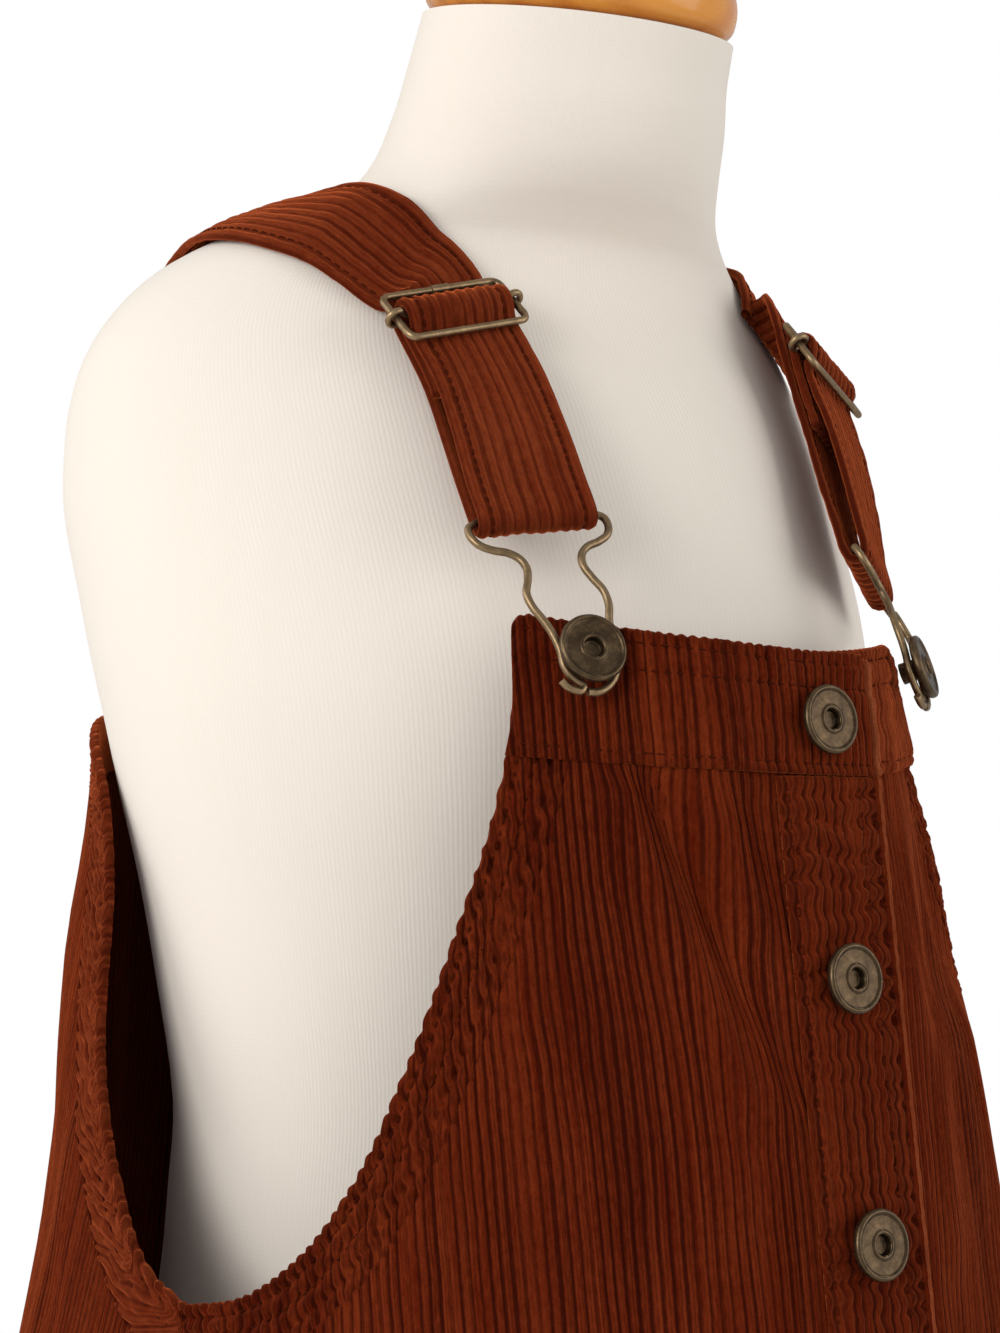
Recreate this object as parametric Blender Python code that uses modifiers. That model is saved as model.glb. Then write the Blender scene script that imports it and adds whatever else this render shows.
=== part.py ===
"""Overall dress in broad-wale corduroy, as worn on a limbless dress form that stands on a pole and base.

Metres, +Z up, the wearer faces -Y and the wearer's right is at -X. The origin is the centre of the
base's underside.
"""

from collections import namedtuple
from math import atan2, cos, hypot, pi, radians, sin

import bmesh
import bpy
import numpy as np
from mathutils import Matrix, Vector

MM = 0.001
RIGHT = -1
LEFT = 1

# Cloth
CLOTH = 1.7 * MM
OVERLAY = 1.5 * MM
TURNED = 2.6 * MM
SEAM = 0.3 * MM
REST_GAP = 0.35 * MM

# Fronts and back
TOP_BUTTON_HEIGHT = 0.860
HEM_HEIGHT = 0.386
FOOT_HEM = 26 * MM
ARM_HEM = 16 * MM
BAND = 30.5 * MM
BIB_TOP = TOP_BUTTON_HEIGHT + 17.5 * MM
BACK_TOP = TOP_BUTTON_HEIGHT + 8 * MM
LAP_EDGE = 19 * MM
LAP_UNDER = 14.5 * MM
LAP_FADE = 46 * MM
LAP_RISE = CLOTH + OVERLAY + 2 * SEAM
CORNER = 5 * MM
SEAM_SHARE = 0.43
SEAM_SWING = 80 * MM
SIDE_GAP = 0.5 * MM
TUCK = 1 * MM
CORNER_GAP = 0.6 * MM
BAND_SIDE = 35 * MM
BAND_SWEEP = 5 * MM
BACK_BAND_EDGE = 285.8 * MM
ROW_SAG = 4 * MM
ROW_BEND = 1.4
PANEL_LOW = HEM_HEIGHT + FOOT_HEM + SEAM
BAND_FOOT = BIB_TOP - BAND

# Soft folds: the shares of their length over which they swell and end, and where they stay clear of
# the lap and the centre back
FOLD_SWELL = 0.45
FOLD_END = 0.12
FOLD_OFF_LAP = 12 * MM
FOLD_OFF_BACK = 20 * MM
SIDE_TURN = radians(72)
SIDE_TURN_SPAN = radians(36)
NORMAL_STEP = 1.5 * MM

# Rows and columns of the cloth's faces
ARM_ROWS = 12
SKIRT_ROWS = 7
PLACKET_ROWS = 14
PANEL_COLUMNS = 10
BACK_COLUMNS = 13
LAP_COLUMNS = (0, 0.1, 0.4, 0.7, 1.0)
CURVE_STEPS = 16
EDGE_POINTS = 240
STRAP_COLUMNS = (-1, -0.4, 0.4, 1)
INNER_SHARES = (-0.7, -0.4, 0, 0.4, 0.7)

# Buttons
BUTTON_RADIUS = 8.5 * MM
BUTTON_COUNT = 7
BUTTON_SPACING = 62 * MM
SHANK_RADIUS = 2.8 * MM
BUTTON_STEPS = 14
TACK_SHANK = 0.8 * MM
TACK_SHANK_RADIUS = 5 * MM
BIB_BUTTON_GIRTH = 57 * MM
BIB_BUTTON_HEIGHT = TOP_BUTTON_HEIGHT + 14.2 * MM
BIB_BUTTON_TURN = {RIGHT: radians(16), LEFT: radians(34)}
BIB_BUTTON_TILT = radians(18)
BIB_BUTTON_LIFT = 2.3 * MM
BIB_SHANK = 4.8 * MM

# Straps, sliders and hooks
STRAP_WIDTH = 31 * MM
STRAP_CLOTH = 2.3 * MM
SHOULDER_GAP = 1.0 * MM
DEEPEST_BOW = 2.5 * MM
LIFT_REACH = 9
SLIDER_STEPS = (-14, -7, 0, 7, 14)
SLIDER_WIRE = 1.0 * MM
SLIDER_HALF_WIDTH = 17.5 * MM
SLIDER_BAR_WIRE = 0.9 * MM
HOOK_WIRE = 1.0 * MM
STRAP_SEAT_GIRTH = 0.3000
STRAP_SEAT_HEIGHTS = (0.866, 0.858, 0.847)
SHOULDER_STATIONS = 18
STRAP_FRAMES = 200
STRAP_RINGS = 34
LOOP_STEPS = 6
SOLVE_ROUNDS = 4
PROJECT_ROUNDS = 8
CURVE_GAP = 0.35
SLIDER_BEND = ((2.2, 0.0), (0.65, 0.042), (0.0, 0.14))
CURL_TURNS = (150, 100, 50, 0, -50, -100, -135)
CURL_ROOT = 4.2
CURL_LIFT = 0.1

# A strap's free stretch: where it turns round the hook's bar and where the slider holds it, with
# the place there, the way it runs and the way across it towards the neck. Both sides are listed as
# if they were the right one.
Station = namedtuple("Station", "place along across")
HOOK_BAR = {
    RIGHT: Station(
        Vector((-0.0565, -0.0965, 0.9090)), Vector((0.08, 0.58, 0.81)), Vector((0.953, -0.255, 0.164))
    ),
    LEFT: Station(
        Vector((-0.0604, -0.0922, 0.9025)), Vector((-0.10, 0.50, 0.86)), Vector((0.819, -0.540, 0.290))
    ),
}
SLIDER_PLACE = {
    RIGHT: Station(
        Vector((-0.0530, -0.0565, 0.9623)), Vector((-0.15, 0.47, 0.866)), Vector((0.973, -0.130, 0.190))
    ),
    LEFT: Station(
        Vector((-0.0690, -0.0595, 0.9590)), Vector((-0.12, 0.45, 0.880)), Vector((0.877, -0.448, 0.144))
    ),
}

# Stand
NECK_TILT = 0.18
NECK_ROOT = 0.989
NECK_RISE = 1.026
TALLEST_LEVEL = 30 * MM
CAP_RADIUS = 42.6 * MM
CAP_HEIGHT = 24 * MM
CAP_STEPS = 36
BOARD_STEPS = 32
POLE_STEPS = 24
BASE_STEPS = 40
BOARD_THICKNESS = 12 * MM
POLE_RADIUS = 12.5 * MM
BASE_RADIUS = 0.14
TORSO_SIDES = 28
BASE_THICKNESS = 16 * MM
COLLAR_RADIUS = 24 * MM
COLLAR_HEIGHT = 34 * MM

# Closed sections of the hanging cloth: half widths at the sides and depths in front and behind.
Section = namedtuple("Section", "height side_front front side_back back")
DRESS_SECTIONS = (
    Section(0.360, 0.181, 0.195, 0.179, 0.164),
    Section(0.560, 0.158, 0.170, 0.152, 0.138),
    Section(0.700, 0.137, 0.1525, 0.127, 0.115),
    Section(0.742, 0.131, 0.147, 0.121, 0.108),
    Section(0.800, 0.119, 0.1395, 0.1165, 0.100),
    Section(0.852, 0.107, 0.133, 0.1115, 0.0940),
    Section(0.883, 0.101, 0.129, 0.1150, 0.0940),
    Section(0.920, 0.096, 0.125, 0.1185, 0.0980),
)

# Level sections of the dress form, each an ellipse leaning forward by its tilt.
Torso = namedtuple("Torso", "height centre side depth tilt")
TORSO_SECTIONS = (
    Torso(0.590, 0.002, 0.0985, 0.0830, 0),
    Torso(0.596, 0.002, 0.1030, 0.0875, 0),
    Torso(0.610, 0.002, 0.1055, 0.0900, 0),
    Torso(0.640, 0.002, 0.1040, 0.0880, 0),
    Torso(0.680, 0.000, 0.0980, 0.0830, 0),
    Torso(0.714, -0.004, 0.0935, 0.0785, 0),
    Torso(0.741, -0.006, 0.0923, 0.0765, 0),
    Torso(0.763, -0.008, 0.0923, 0.0760, 0),
    Torso(0.796, -0.008, 0.0974, 0.0799, 0),
    Torso(0.821, -0.008, 0.1022, 0.0834, 0),
    Torso(0.845, -0.008, 0.1080, 0.0880, 0),
    Torso(0.865, -0.0073, 0.1122, 0.0912, 0),
    Torso(0.880, -0.0045, 0.1142, 0.0930, 0),
    Torso(0.900, 0.0011, 0.1155, 0.0935, 0),
    Torso(0.920, 0.0082, 0.1159, 0.0927, 0),
    Torso(0.935, 0.0112, 0.1152, 0.0890, 0),
    Torso(0.950, 0.0128, 0.1138, 0.0823, 0),
    Torso(0.965, 0.0122, 0.1095, 0.0728, 0),
    Torso(0.980, 0.0080, 0.0990, 0.0616, 0),
    Torso(0.990, 0.0010, 0.0850, 0.0545, 0),
    Torso(0.9965, -0.0090, 0.0700, 0.0505, 0),
    Torso(1.002, -0.0190, 0.0580, 0.0475, 0),
    Torso(1.011, -0.0285, 0.0500, 0.0452, 0.03),
    Torso(1.025, -0.0356, 0.0460, 0.0438, 0.08),
    Torso(1.038, -0.0396, 0.0437, 0.0422, 0.14),
    Torso(1.050, -0.0440, 0.0425, 0.0412, NECK_TILT),
)

# Armhole of one side, from the bib's corner under the arm to the back's corner.
Edge = namedtuple("Edge", "girth height")
FRONT_ARMHOLE = (
    Edge(0.0748, 0.8865),
    Edge(0.0770, 0.8600),
    Edge(0.0833, 0.8380),
    Edge(0.0942, 0.8110),
    Edge(0.1100, 0.7765),
    Edge(0.1232, 0.7535),
    Edge(0.1381, 0.7361),
    Edge(0.1540, 0.7255),
    Edge(0.1718, 0.7220),
)
BACK_ARMHOLE = (
    Edge(0.1718, 0.7220),
    Edge(0.1840, 0.7285),
    Edge(0.1968, 0.7450),
    Edge(0.2060, 0.7640),
    Edge(0.2100, 0.7850),
    Edge(0.2095, 0.8080),
    Edge(0.2090, 0.8300),
    Edge(0.2130, 0.8460),
    Edge(0.2245, 0.8570),
    Edge(0.2430, 0.8640),
    Edge(0.2640, 0.8680),
    Edge(0.2830, 0.8705),
)

# Soft folds: ridges where the rise is above nought and troughs where it is below.
Fold = namedtuple("Fold", "side girth_high height_high girth_low height_low reach rise")
FOLDS = (
    Fold(RIGHT, 0.064, 0.960, 0.064, 0.780, 0.020, -0.0038),
    Fold(LEFT, 0.064, 0.960, 0.064, 0.780, 0.020, -0.0042),
    Fold(RIGHT, 0.062, 0.842, 0.030, 0.740, 0.010, 0.0016),
    Fold(RIGHT, 0.036, 0.842, 0.016, 0.700, 0.009, -0.0014),
    Fold(RIGHT, 0.085, 0.800, 0.070, 0.640, 0.013, -0.0022),
    Fold(RIGHT, 0.120, 0.740, 0.118, 0.300, 0.022, 0.0070),
    Fold(RIGHT, 0.052, 0.760, 0.062, 0.300, 0.020, 0.0045),
    Fold(RIGHT, 0.165, 0.700, 0.185, 0.300, 0.018, -0.0060),
    Fold(LEFT, 0.030, 0.842, 0.044, 0.720, 0.009, 0.0015),
    Fold(LEFT, 0.066, 0.840, 0.082, 0.700, 0.011, 0.0024),
    Fold(LEFT, 0.050, 0.790, 0.058, 0.300, 0.014, -0.0042),
    Fold(LEFT, 0.090, 0.760, 0.104, 0.300, 0.020, 0.0062),
    Fold(LEFT, 0.150, 0.720, 0.160, 0.300, 0.020, -0.0058),
    Fold(RIGHT, 0.260, 0.780, 0.262, 0.300, 0.022, 0.0058),
    Fold(RIGHT, 0.330, 0.800, 0.340, 0.300, 0.020, -0.0050),
    Fold(RIGHT, 0.385, 0.740, 0.405, 0.300, 0.024, 0.0064),
    Fold(LEFT, 0.272, 0.770, 0.280, 0.300, 0.022, 0.0054),
    Fold(LEFT, 0.345, 0.780, 0.358, 0.300, 0.020, -0.0056),
    Fold(LEFT, 0.410, 0.730, 0.430, 0.300, 0.026, 0.0060),
)

# Each strap's middle line on the shoulder, from the slider to the back, listed as if it were the
# right one; each place is then moved onto the form.
SHOULDER_ROUTE = {
    RIGHT: (
        Vector((-0.0580, -0.0445, 0.977)),
        Vector((-0.0636, -0.0390, 0.984)),
        Vector((-0.0695, -0.0315, 0.990)),
        Vector((-0.0738, -0.0210, 0.993)),
        Vector((-0.0760, -0.0100, 0.994)),
        Vector((-0.0748, 0.0020, 0.993)),
        Vector((-0.0695, 0.0160, 0.990)),
        Vector((-0.0628, 0.0300, 0.984)),
        Vector((-0.0565, 0.0450, 0.973)),
        Vector((-0.0515, 0.0610, 0.955)),
        Vector((-0.0480, 0.0760, 0.930)),
        Vector((-0.0455, 0.0850, 0.906)),
    ),
    LEFT: (
        Vector((-0.0745, -0.0480, 0.974)),
        Vector((-0.0790, -0.0380, 0.982)),
        Vector((-0.0820, -0.0270, 0.986)),
        Vector((-0.0835, -0.0140, 0.988)),
        Vector((-0.0835, 0.0000, 0.988)),
        Vector((-0.0815, 0.0150, 0.986)),
        Vector((-0.0770, 0.0310, 0.979)),
        Vector((-0.0700, 0.0470, 0.968)),
        Vector((-0.0615, 0.0630, 0.950)),
        Vector((-0.0530, 0.0770, 0.926)),
        Vector((-0.0462, 0.0850, 0.906)),
    ),
}

# The strap's upper layer, as distance up from the hook's bar and height over the under layer.
# The second table is listed from the slider.
LayerPoint = namedtuple("LayerPoint", "up height")
FRONT_LAYER = (
    LayerPoint(8.0, 5.7),
    LayerPoint(18.0, 6.5),
    LayerPoint(30.0, 6.8),
    LayerPoint(42.0, 6.5),
)
SLIDER_ROLL = (
    LayerPoint(-12.0, 5.6),
    LayerPoint(-7.0, 5.35),
    LayerPoint(-4.2, 5.95),
    LayerPoint(-2.3, 7.35),
    LayerPoint(0.2, 8.5),
    LayerPoint(2.8, 8.1),
    LayerPoint(4.7, 6.3),
    LayerPoint(4.6, 4.2),
    LayerPoint(2.9, 2.9),
    LayerPoint(-1.0, 2.65),
    LayerPoint(-12.0, 2.65),
    LayerPoint(-25.0, 2.65),
)
SLIDER_TOP_BAR = LayerPoint(7.4, 2.6)
SLIDER_LOW_BAR = LayerPoint(-7.0, 8.1)

# Half of the bib hook's wire, in its own plane: across, and up from the button's shank.
HookPoint = namedtuple("HookPoint", "across up")
HOOK_HALF = (
    HookPoint(0.0, 38.0),
    HookPoint(15.9, 38.0),
    HookPoint(17.6, 36.9),
    HookPoint(18.0, 34.6),
    HookPoint(16.8, 31.6),
    HookPoint(13.8, 29.6),
    HookPoint(10.2, 28.3),
    HookPoint(8.0, 26.2),
    HookPoint(7.3, 23.4),
    HookPoint(8.3, 19.8),
    HookPoint(10.2, 16.0),
    HookPoint(10.4, 12.0),
    HookPoint(8.2, 7.6),
    HookPoint(6.0, 4.0),
    HookPoint(4.9, -1.0),
    HookPoint(3.3, -4.0),
    HookPoint(1.7, -5.4),
    HookPoint(1.5, -7.4),
    HookPoint(3.0, -9.5),
    HookPoint(5.6, -9.6),
    HookPoint(6.9, -7.6),
    HookPoint(5.6, -5.8),
)
HOOK_RISE = 38.0
HOOK_TWIST = 1.3
HOOK_BELLY = 1.2 * MM
RING_STAND = 3.35 * MM

# Bronze and cloth colours
CORDUROY = ("corduroy", (0.215, 0.050, 0.020), 0.85, 0.0)
BRASS = ("antique_brass", (0.24, 0.17, 0.10), 0.42, 1.0)
JERSEY = ("jersey", (0.80, 0.74, 0.66), 0.9, 0.0)
WOOD = ("wood", (0.62, 0.24, 0.05), 0.3, 0.0)
STEEL = ("painted_steel", (0.72, 0.70, 0.66), 0.4, 0.0)


def clear_scene():
    """Empty the scene, so that only the dress and its form are in it."""
    for item in list(bpy.data.objects):
        bpy.data.objects.remove(item, do_unlink=True)


def make_collection():
    """Return the collection that holds the pieces."""
    collection = bpy.data.collections.new("overall_dress_on_form")
    bpy.context.scene.collection.children.link(collection)
    return collection


def finish(name, finish_name, collection, item):
    """Name an object, give it a material of its own and put it in the collection."""
    label, colour, roughness, metallic = finish_name
    item.name = name
    item.data.name = name
    material = bpy.data.materials.new(f"{name}_{label}")
    material.use_nodes = True
    shader = material.node_tree.nodes["Principled BSDF"]
    shader.inputs["Base Color"].default_value = (*colour, 1)
    shader.inputs["Roughness"].default_value = roughness
    shader.inputs["Metallic"].default_value = metallic
    item.data.materials.append(material)
    for owner in list(item.users_collection):
        owner.objects.unlink(item)
    collection.objects.link(item)
    return item


def smooth_step(value):
    """Rise softly from 0 to 1 as value goes from 0 to 1."""
    value = min(max(value, 0.0), 1.0)
    return value * value * (3 - 2 * value)


def smooth_rows(rows, key, position):
    """Read the rows at a position along the column key, on a smooth curve through them."""
    keys = [getattr(row, key) for row in rows]
    values = np.array([list(row) for row in rows], float)
    position = min(max(position, keys[0]), keys[-1])
    index = min(max(int(np.searchsorted(keys, position)) - 1, 0), len(keys) - 2)
    span = keys[index + 1] - keys[index]
    share = (position - keys[index]) / span

    def slope(at):
        if at == 0:
            return (values[1] - values[0]) / (keys[1] - keys[0])
        if at == len(keys) - 1:
            return (values[-1] - values[-2]) / (keys[-1] - keys[-2])
        return (values[at + 1] - values[at - 1]) / (keys[at + 1] - keys[at - 1])

    start, end = values[index], values[index + 1]
    first, second = slope(index) * span, slope(index + 1) * span
    square, cube = share**2, share**3
    return (
        start * (2 * cube - 3 * square + 1)
        + first * (cube - 2 * square + share)
        + end * (3 * square - 2 * cube)
        + second * (cube - square)
    )


def along_curve(points, count):
    """Return count points evenly spaced on a smooth curve through the points."""
    points = np.array([tuple(point) for point in points], float)
    stops = np.concatenate([[0], np.cumsum(np.linalg.norm(np.diff(points, axis=0), axis=1))])
    slopes = np.gradient(points, stops, axis=0)
    fine = []
    for index in range(len(points) - 1):
        span = stops[index + 1] - stops[index]
        for share in np.linspace(0, 1, CURVE_STEPS, endpoint=False):
            square, cube = share**2, share**3
            fine.append(
                points[index] * (2 * cube - 3 * square + 1)
                + slopes[index] * span * (cube - 2 * square + share)
                + points[index + 1] * (3 * square - 2 * cube)
                + slopes[index + 1] * span * (cube - square)
            )
    fine.append(points[-1])
    fine = np.array(fine)
    travel = np.concatenate([[0], np.cumsum(np.linalg.norm(np.diff(fine, axis=0), axis=1))])
    wanted = np.linspace(0, travel[-1], count)
    return np.stack([np.interp(wanted, travel, fine[:, axis]) for axis in range(fine.shape[1])], 1)


# The hanging cloth's surface --------------------------------------------------------------------

ARC_ANGLES = np.radians(np.linspace(-60, 240, 301))
arc_memory = {}


def plan_point(angle, row):
    """Return x and y on a level section, at an angle from the centre front."""
    share = smooth_step((abs(angle) - SIDE_TURN) / SIDE_TURN_SPAN)
    side = row[1] * (1 - share) + row[3] * share
    depth = row[2] if cos(angle) > 0 else row[4]
    return side * sin(angle), -depth * cos(angle)


def section_arc(height):
    """Return the section's row and its distance along the cloth from the centre front, by angle."""
    key = round(height, 5)
    if key not in arc_memory:
        row = smooth_rows(DRESS_SECTIONS, "height", height)
        plan = np.array([plan_point(angle, row) for angle in ARC_ANGLES])
        travel = np.concatenate([[0], np.cumsum(np.hypot(*np.diff(plan, axis=0).T))])
        travel -= np.interp(0, ARC_ANGLES, travel)
        arc_memory[key] = (row, travel)
    return arc_memory[key]


def half_girth(height):
    """Return the distance along the cloth from the centre front to the centre back."""
    return float(np.interp(pi, ARC_ANGLES, section_arc(height)[1]))


def fold_rise(side, girth, height):
    """Return how far the soft folds carry the cloth out at a place."""
    rise = 0.0
    for fold in FOLDS:
        if fold.side != side:
            continue
        run = fold.girth_low - fold.girth_high
        fall = fold.height_low - fold.height_high
        length = hypot(run, fall)
        along = ((girth - fold.girth_high) * run + (height - fold.height_high) * fall) / length**2
        across = ((girth - fold.girth_high) * fall - (height - fold.height_high) * run) / length
        fade = smooth_step(along / FOLD_SWELL) * smooth_step((1 - along) / FOLD_END)
        rise += fold.rise * fade * np.exp(-((across / fold.reach) ** 2))
    middle_back = smooth_step((half_girth(height) - girth) / FOLD_OFF_BACK)
    middle_front = smooth_step((girth - LAP_EDGE) / FOLD_OFF_LAP)
    return rise * middle_front * middle_back


def lap_rise(side, girth):
    """Return how far the right front stands off where it laps over the left."""
    if side == LEFT:
        return 0.0
    return LAP_RISE * smooth_step((LAP_FADE - girth) / (LAP_FADE - LAP_EDGE))


def cloth_surface(side, girth, height):
    """Return a point on the outer face of the fronts and back."""
    row, travel = section_arc(height)
    angle = float(np.interp(girth, travel, ARC_ANGLES))
    x, y = plan_point(angle, row)
    near = plan_point(angle - 0.01, row)
    far = plan_point(angle + 0.01, row)
    outward = Vector((far[1] - near[1], near[0] - far[0], 0)).normalized()
    point = Vector((x, y, height))
    point += outward * (fold_rise(side, girth, height) + lap_rise(side, girth))
    point.x *= side
    return point


def cloth_point(side, girth, height, lift=0.0):
    """Return a point lifted off the cloth's outer face, along the normal there."""
    step = NORMAL_STEP
    across = cloth_surface(side, girth + step, height) - cloth_surface(side, girth - step, height)
    upward = cloth_surface(side, girth, height + step) - cloth_surface(side, girth, height - step)
    normal = across.cross(upward).normalized()
    if side == RIGHT:
        normal = -normal
    return cloth_surface(side, girth, height) + normal * lift, normal


def sheet_piece(name, grid, lift, thickness, collection):
    """Make one cloth piece from a grid of (side, girth, height), solid from its outer face inwards.

    The outer face lies at the lift off the cloth's surface.
    """
    mesh = bpy.data.meshes.new(name)
    build = bmesh.new()
    rows = []
    for line in grid:
        rows.append([build.verts.new(cloth_point(*place, lift)[0]) for place in line])
    for upper, lower in zip(rows, rows[1:]):
        for index in range(len(upper) - 1):
            build.faces.new((upper[index], upper[index + 1], lower[index + 1], lower[index]))
    build.normal_update()
    middle = grid[len(grid) // 2][len(grid[0]) // 2]
    outward = cloth_point(*middle)[1]
    build.faces.ensure_lookup_table()
    seen = build.faces[len(build.faces) // 2].normal
    if seen.dot(outward) < 0:
        bmesh.ops.reverse_faces(build, faces=build.faces[:])
    build.to_mesh(mesh)
    build.free()
    item = bpy.data.objects.new(name, mesh)
    solid = item.modifiers.new("Cloth", "SOLIDIFY")
    solid.thickness = thickness
    solid.offset = -1
    solid.use_even_offset = True
    mesh.shade_smooth()
    return finish(name, CORDUROY, collection, item)


# Outlines of the pieces, as (girth, height) -------------------------------------------------------


def seam_girth(height):
    """Return where the side seam runs, from the centre front."""
    top = FRONT_ARMHOLE[-1]
    drop = smooth_step((top.height - height) / SEAM_SWING)
    share = top.girth / half_girth(top.height)
    return half_girth(height) * (share * (1 - drop) + SEAM_SHARE * drop)


def stretch(points, start, end, count):
    """Return count points evenly spaced on the curve through the points, between two distances."""
    fine = along_curve(points, EDGE_POINTS)
    travel = np.concatenate([[0], np.cumsum(np.linalg.norm(np.diff(fine, axis=0), axis=1))])
    wanted = np.linspace(start, travel[-1] if end is None else end, count)
    return np.stack([np.interp(wanted, travel, fine[:, axis]) for axis in range(2)], 1)


def inset_curve(points, distance):
    """Return the points moved to the right of the way they run, into the cloth."""
    moved = []
    for index, point in enumerate(points):
        before = points[max(index - 1, 0)]
        after = points[min(index + 1, len(points) - 1)]
        run, fall = after[0] - before[0], after[1] - before[1]
        length = hypot(run, fall)
        moved.append(np.array((point[0] + fall / length * distance, point[1] - run / length * distance)))
    return moved


def corner_drop(from_edge):
    """Return how far a rounded corner falls at a distance from the edge."""
    if from_edge >= CORNER:
        return 0.0
    return CORNER - (CORNER**2 - (CORNER - max(from_edge, 0)) ** 2) ** 0.5


def front_line(side, edge_girth, edge_height, centre, rounding=0.0):
    """Return one row of a front, from the lap's edge to the outer edge."""
    inner = -LAP_EDGE if side == RIGHT else -LAP_UNDER
    outer = LAP_UNDER if side == RIGHT else LAP_EDGE
    girths = [inner + (outer - inner) * share for share in LAP_COLUMNS]
    girths += list(np.linspace(outer, edge_girth, PANEL_COLUMNS + 1))[1:]
    line = []
    for girth in girths:
        height = centre + (edge_height - centre) * (max(girth, 0) / edge_girth) ** ROW_BEND
        height -= rounding * (corner_drop(girth - inner) + corner_drop(edge_girth - girth))
        line.append((side, float(girth), float(height)))
    return line


def front_centre(edge_height):
    """Return the height that a row of a front has at the centre, from its height at the outer edge."""
    foot = FRONT_ARMHOLE[-1].height - ARM_HEM
    sides = (PANEL_LOW, foot, BAND_FOOT + BAND_SWEEP, FRONT_ARMHOLE[0].height)
    return float(np.interp(edge_height, sides, (PANEL_LOW, foot - ROW_SAG, BAND_FOOT, BIB_TOP)))


def front_grid(side):
    """Return the rows of a front panel: behind its band, beside the armhole hem, then to the foot."""
    grid = []
    for share, edge in zip((0, 0.4, 1), stretch(FRONT_ARMHOLE, 0, BAND_SIDE - TUCK - SEAM, 3)):
        grid.append(front_line(side, *edge, front_centre(edge[1]), rounding=1 - share))
    edges = stretch(FRONT_ARMHOLE, BAND_SIDE - TUCK - SEAM, None, ARM_ROWS)
    for girth, height in inset_curve(edges, ARM_HEM + SEAM):
        limit = seam_girth(height) - SIDE_GAP / 2
        grid.append(front_line(side, min(girth, limit), height, front_centre(height)))
    for height in np.linspace(grid[-1][-1][2], PANEL_LOW, SKIRT_ROWS + 1)[1:]:
        grid.append(front_line(side, seam_girth(height) - SIDE_GAP / 2, height, front_centre(height)))
    return grid


def hem_grid(side, edges, limit):
    """Return the rows of an armhole hem, each from the opening's edge into the cloth."""
    grid = []
    for edge, inner in zip(edges, inset_curve(edges, ARM_HEM)):
        line = []
        for share in (0, 0.5, 1):
            girth, height = edge * (1 - share) + inner * share
            line.append((side, limit(girth, height), float(height)))
        grid.append(line)
    return grid


def make_fronts(collection):
    """Make the two front panels, their placket bands, bib bands, armhole hems and foot hems."""
    for side, word in ((RIGHT, "right"), (LEFT, "left")):
        inner = -LAP_EDGE if side == RIGHT else -LAP_UNDER
        outer = LAP_UNDER if side == RIGHT else LAP_EDGE
        sheet_piece(f"front_{word}", front_grid(side), 0.0, CLOTH, collection)

        foot = HEM_HEIGHT if side == RIGHT else PANEL_LOW
        placket = []
        for height in np.linspace(BAND_FOOT - SEAM, foot, PLACKET_ROWS):
            placket.append([(side, inner + (outer - inner) * s, float(height)) for s in LAP_COLUMNS])
        sheet_piece(f"placket_{word}", placket, SEAM + OVERLAY, OVERLAY, collection)

        band = []
        edges = stretch(FRONT_ARMHOLE, 0, BAND_SIDE, 4)
        for share, edge in zip(np.linspace(0, 1, 4), edges):
            band.append(front_line(side, *edge, BIB_TOP - BAND * share, rounding=1 - share))
        sheet_piece(f"bib_band_{word}", band, SEAM + OVERLAY, OVERLAY, collection)

        edges = stretch(FRONT_ARMHOLE, BAND_SIDE - TUCK, None, ARM_ROWS)
        hem = hem_grid(side, edges, lambda girth, z: min(girth, seam_girth(z) - SIDE_GAP / 2))
        sheet_piece(f"armhole_hem_front_{word}", hem, 0.0, TURNED, collection)

        foot = []
        for height in np.linspace(HEM_HEIGHT + FOOT_HEM, HEM_HEIGHT, 3):
            foot.append(front_line(side, seam_girth(height) - SIDE_GAP / 2, height, height))
        sheet_piece(f"foot_hem_front_{word}", foot, 0.0, TURNED, collection)


def back_line(edge_girth, edge_height, centre_height):
    """Return one row of the back, from the right edge round the centre back to the left edge."""
    line = []
    for column in range(-BACK_COLUMNS, BACK_COLUMNS + 1):
        side = RIGHT if column < 0 else LEFT
        share = abs(column) / BACK_COLUMNS
        height = float(centre_height + (edge_height - centre_height) * share**2)
        middle = half_girth(height)
        line.append((side, float(middle + (edge_girth - middle) * share), height))
    return line


def back_centre(edge_height):
    """Return the height that a row of the back has at the centre, from its height at the edge."""
    foot = BACK_ARMHOLE[0].height - ARM_HEM
    top = BACK_ARMHOLE[-1].height
    sides = (PANEL_LOW, foot, top - ARM_HEM, top)
    return float(np.interp(edge_height, sides, (PANEL_LOW, foot - ROW_SAG, BACK_TOP - ARM_HEM, BACK_TOP)))


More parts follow.
